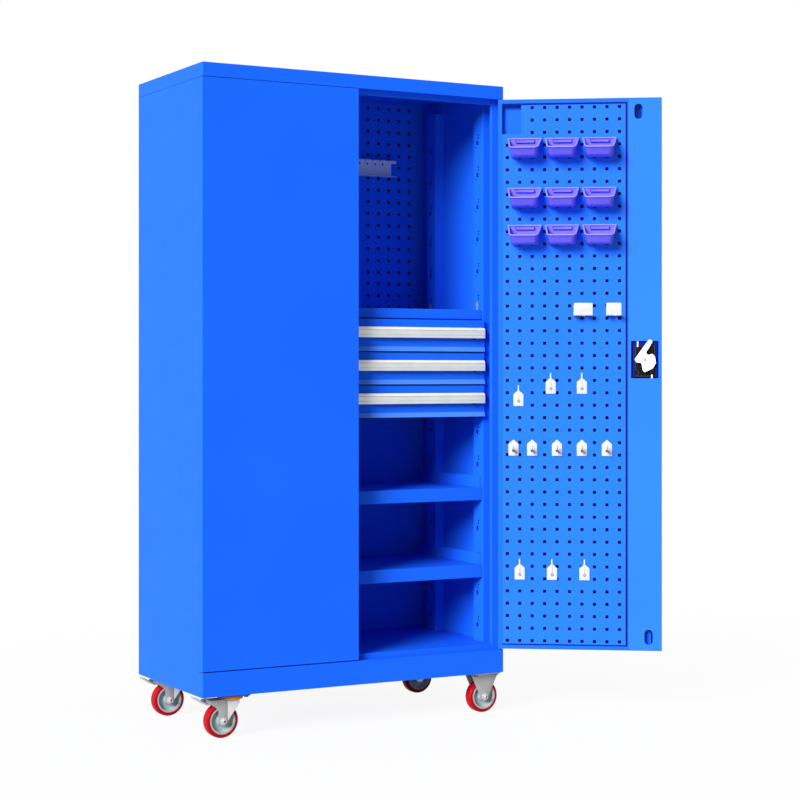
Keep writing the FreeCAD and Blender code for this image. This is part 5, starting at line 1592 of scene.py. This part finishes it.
@dataclass
class Studio:
    """A white floor and surroundings, one soft lamp and the camera."""

    camera_place: Point = (-2.6110, -5.2543, 1.0447)
    camera_yaw: float = -28.77
    lens: float = 86.07
    sensor: float = 36.0
    shift_y: float = -0.0339
    ambient: float = 0.18
    key_strength: float = 5.15
    key_way: Point = (1.32, 0.73, -0.66)
    key_spread: float = 26.0
    floor_size: float = 120.0
    floor_noise: Pair = (0.6, 2.0)
    floor_drift: float = 0.04
    floor_tones: Pair = (0.60, 0.96)
    floor_roughness: float = 0.9
    floor_gloss: float = 0.1
    shadow_share: float = 0.10
    shadow_reach: float = 4.0

    def build(self) -> None:
        """Makes the camera, the lamp, the world and the floor."""
        data = bpy.data.cameras.new("camera")
        data.lens, data.sensor_width, data.shift_y = self.lens, self.sensor, self.shift_y
        camera = self.stand("camera", data)
        camera.location = self.camera_place
        camera.rotation_euler = (math.radians(90), 0, math.radians(self.camera_yaw))
        bpy.context.scene.camera = camera
        data = bpy.data.lights.new("key lamp", "SUN")
        data.energy, data.angle = self.key_strength, math.radians(self.key_spread)
        lamp = self.stand("key lamp", data)
        lamp.rotation_mode = "QUATERNION"
        lamp.rotation_quaternion = Vector(self.key_way).to_track_quat("-Z", "Y")
        self.make_world()
        self.make_floor()
        bpy.context.scene.view_settings.view_transform = "Standard"

    @staticmethod
    def stand(name: str, data: bpy.types.ID) -> Object:
        """Puts a camera or a lamp in the scene."""
        piece = bpy.data.objects.new(name, data)
        bpy.context.scene.collection.objects.link(piece)
        return piece

    def make_world(self) -> None:
        """White all round, as the camera and reflections see it, and softer as a light."""
        world = bpy.data.worlds.new("studio")
        bpy.context.scene.world = world
        nodes = Nodes(world)
        light, seen = (nodes.add("ShaderNodeBackground", {"Strength": strength, "Color": (1, 1, 1)})
                       for strength in (self.ambient, 1.0))
        both = nodes.blend(nodes.seen(), light.outputs[0], seen.outputs[0])
        nodes.add("ShaderNodeOutputWorld", {"Surface": both})

    def make_floor(self) -> None:
        """A wide white floor that keeps the object's soft shadow."""
        floor = Bench.begin("studio_floor", bpy.ops.mesh.primitive_plane_add, size=self.floor_size)
        recipe = Recipe("studio floor")
        recipe.feed(recipe.shader.inputs["Roughness"], self.floor_roughness)
        recipe.feed(recipe.shader.inputs["Specular IOR Level"], self.floor_gloss)
        seen = recipe.seen()
        tone = recipe.reckon("MULTIPLY_ADD", recipe.noise(*self.floor_noise), self.floor_drift, seen)
        recipe.tint(tone, *((tint,) * 3 for tint in self.floor_tones))
        glow = recipe.add("ShaderNodeEmission", {"Strength": 1.0}).outputs[0]
        scale = (1 / self.shadow_reach,) * 3
        near = recipe.add("ShaderNodeMapping", {"Vector": recipe.place, "Scale": scale})
        fade = recipe.add("ShaderNodeTexGradient", {"Vector": near.outputs["Vector"]},
                          gradient_type="QUADRATIC_SPHERE").outputs["Fac"]
        share = recipe.reckon("MULTIPLY", seen,
                              recipe.reckon("MULTIPLY_ADD", fade, -self.shadow_share, 1.0))
        recipe.feed(recipe.out.inputs["Surface"], recipe.blend(share, recipe.shader.outputs[0], glow))
        floor.data.materials.append(recipe.material)


def main() -> None:
    """Builds every part in order."""
    logging.basicConfig(level=logging.INFO, format="%(message)s")
    for part in (Studio(), Carcass(), DoorPanels(), Lock(), Hooks(), PlierRacks(), Bins(),
                 Drawers(), ScrewdriverRack(), Wheels(), Casters()):
        part.build()
        LOG.info("built %s", type(part).__name__)


if __name__ == "__main__":
    main()
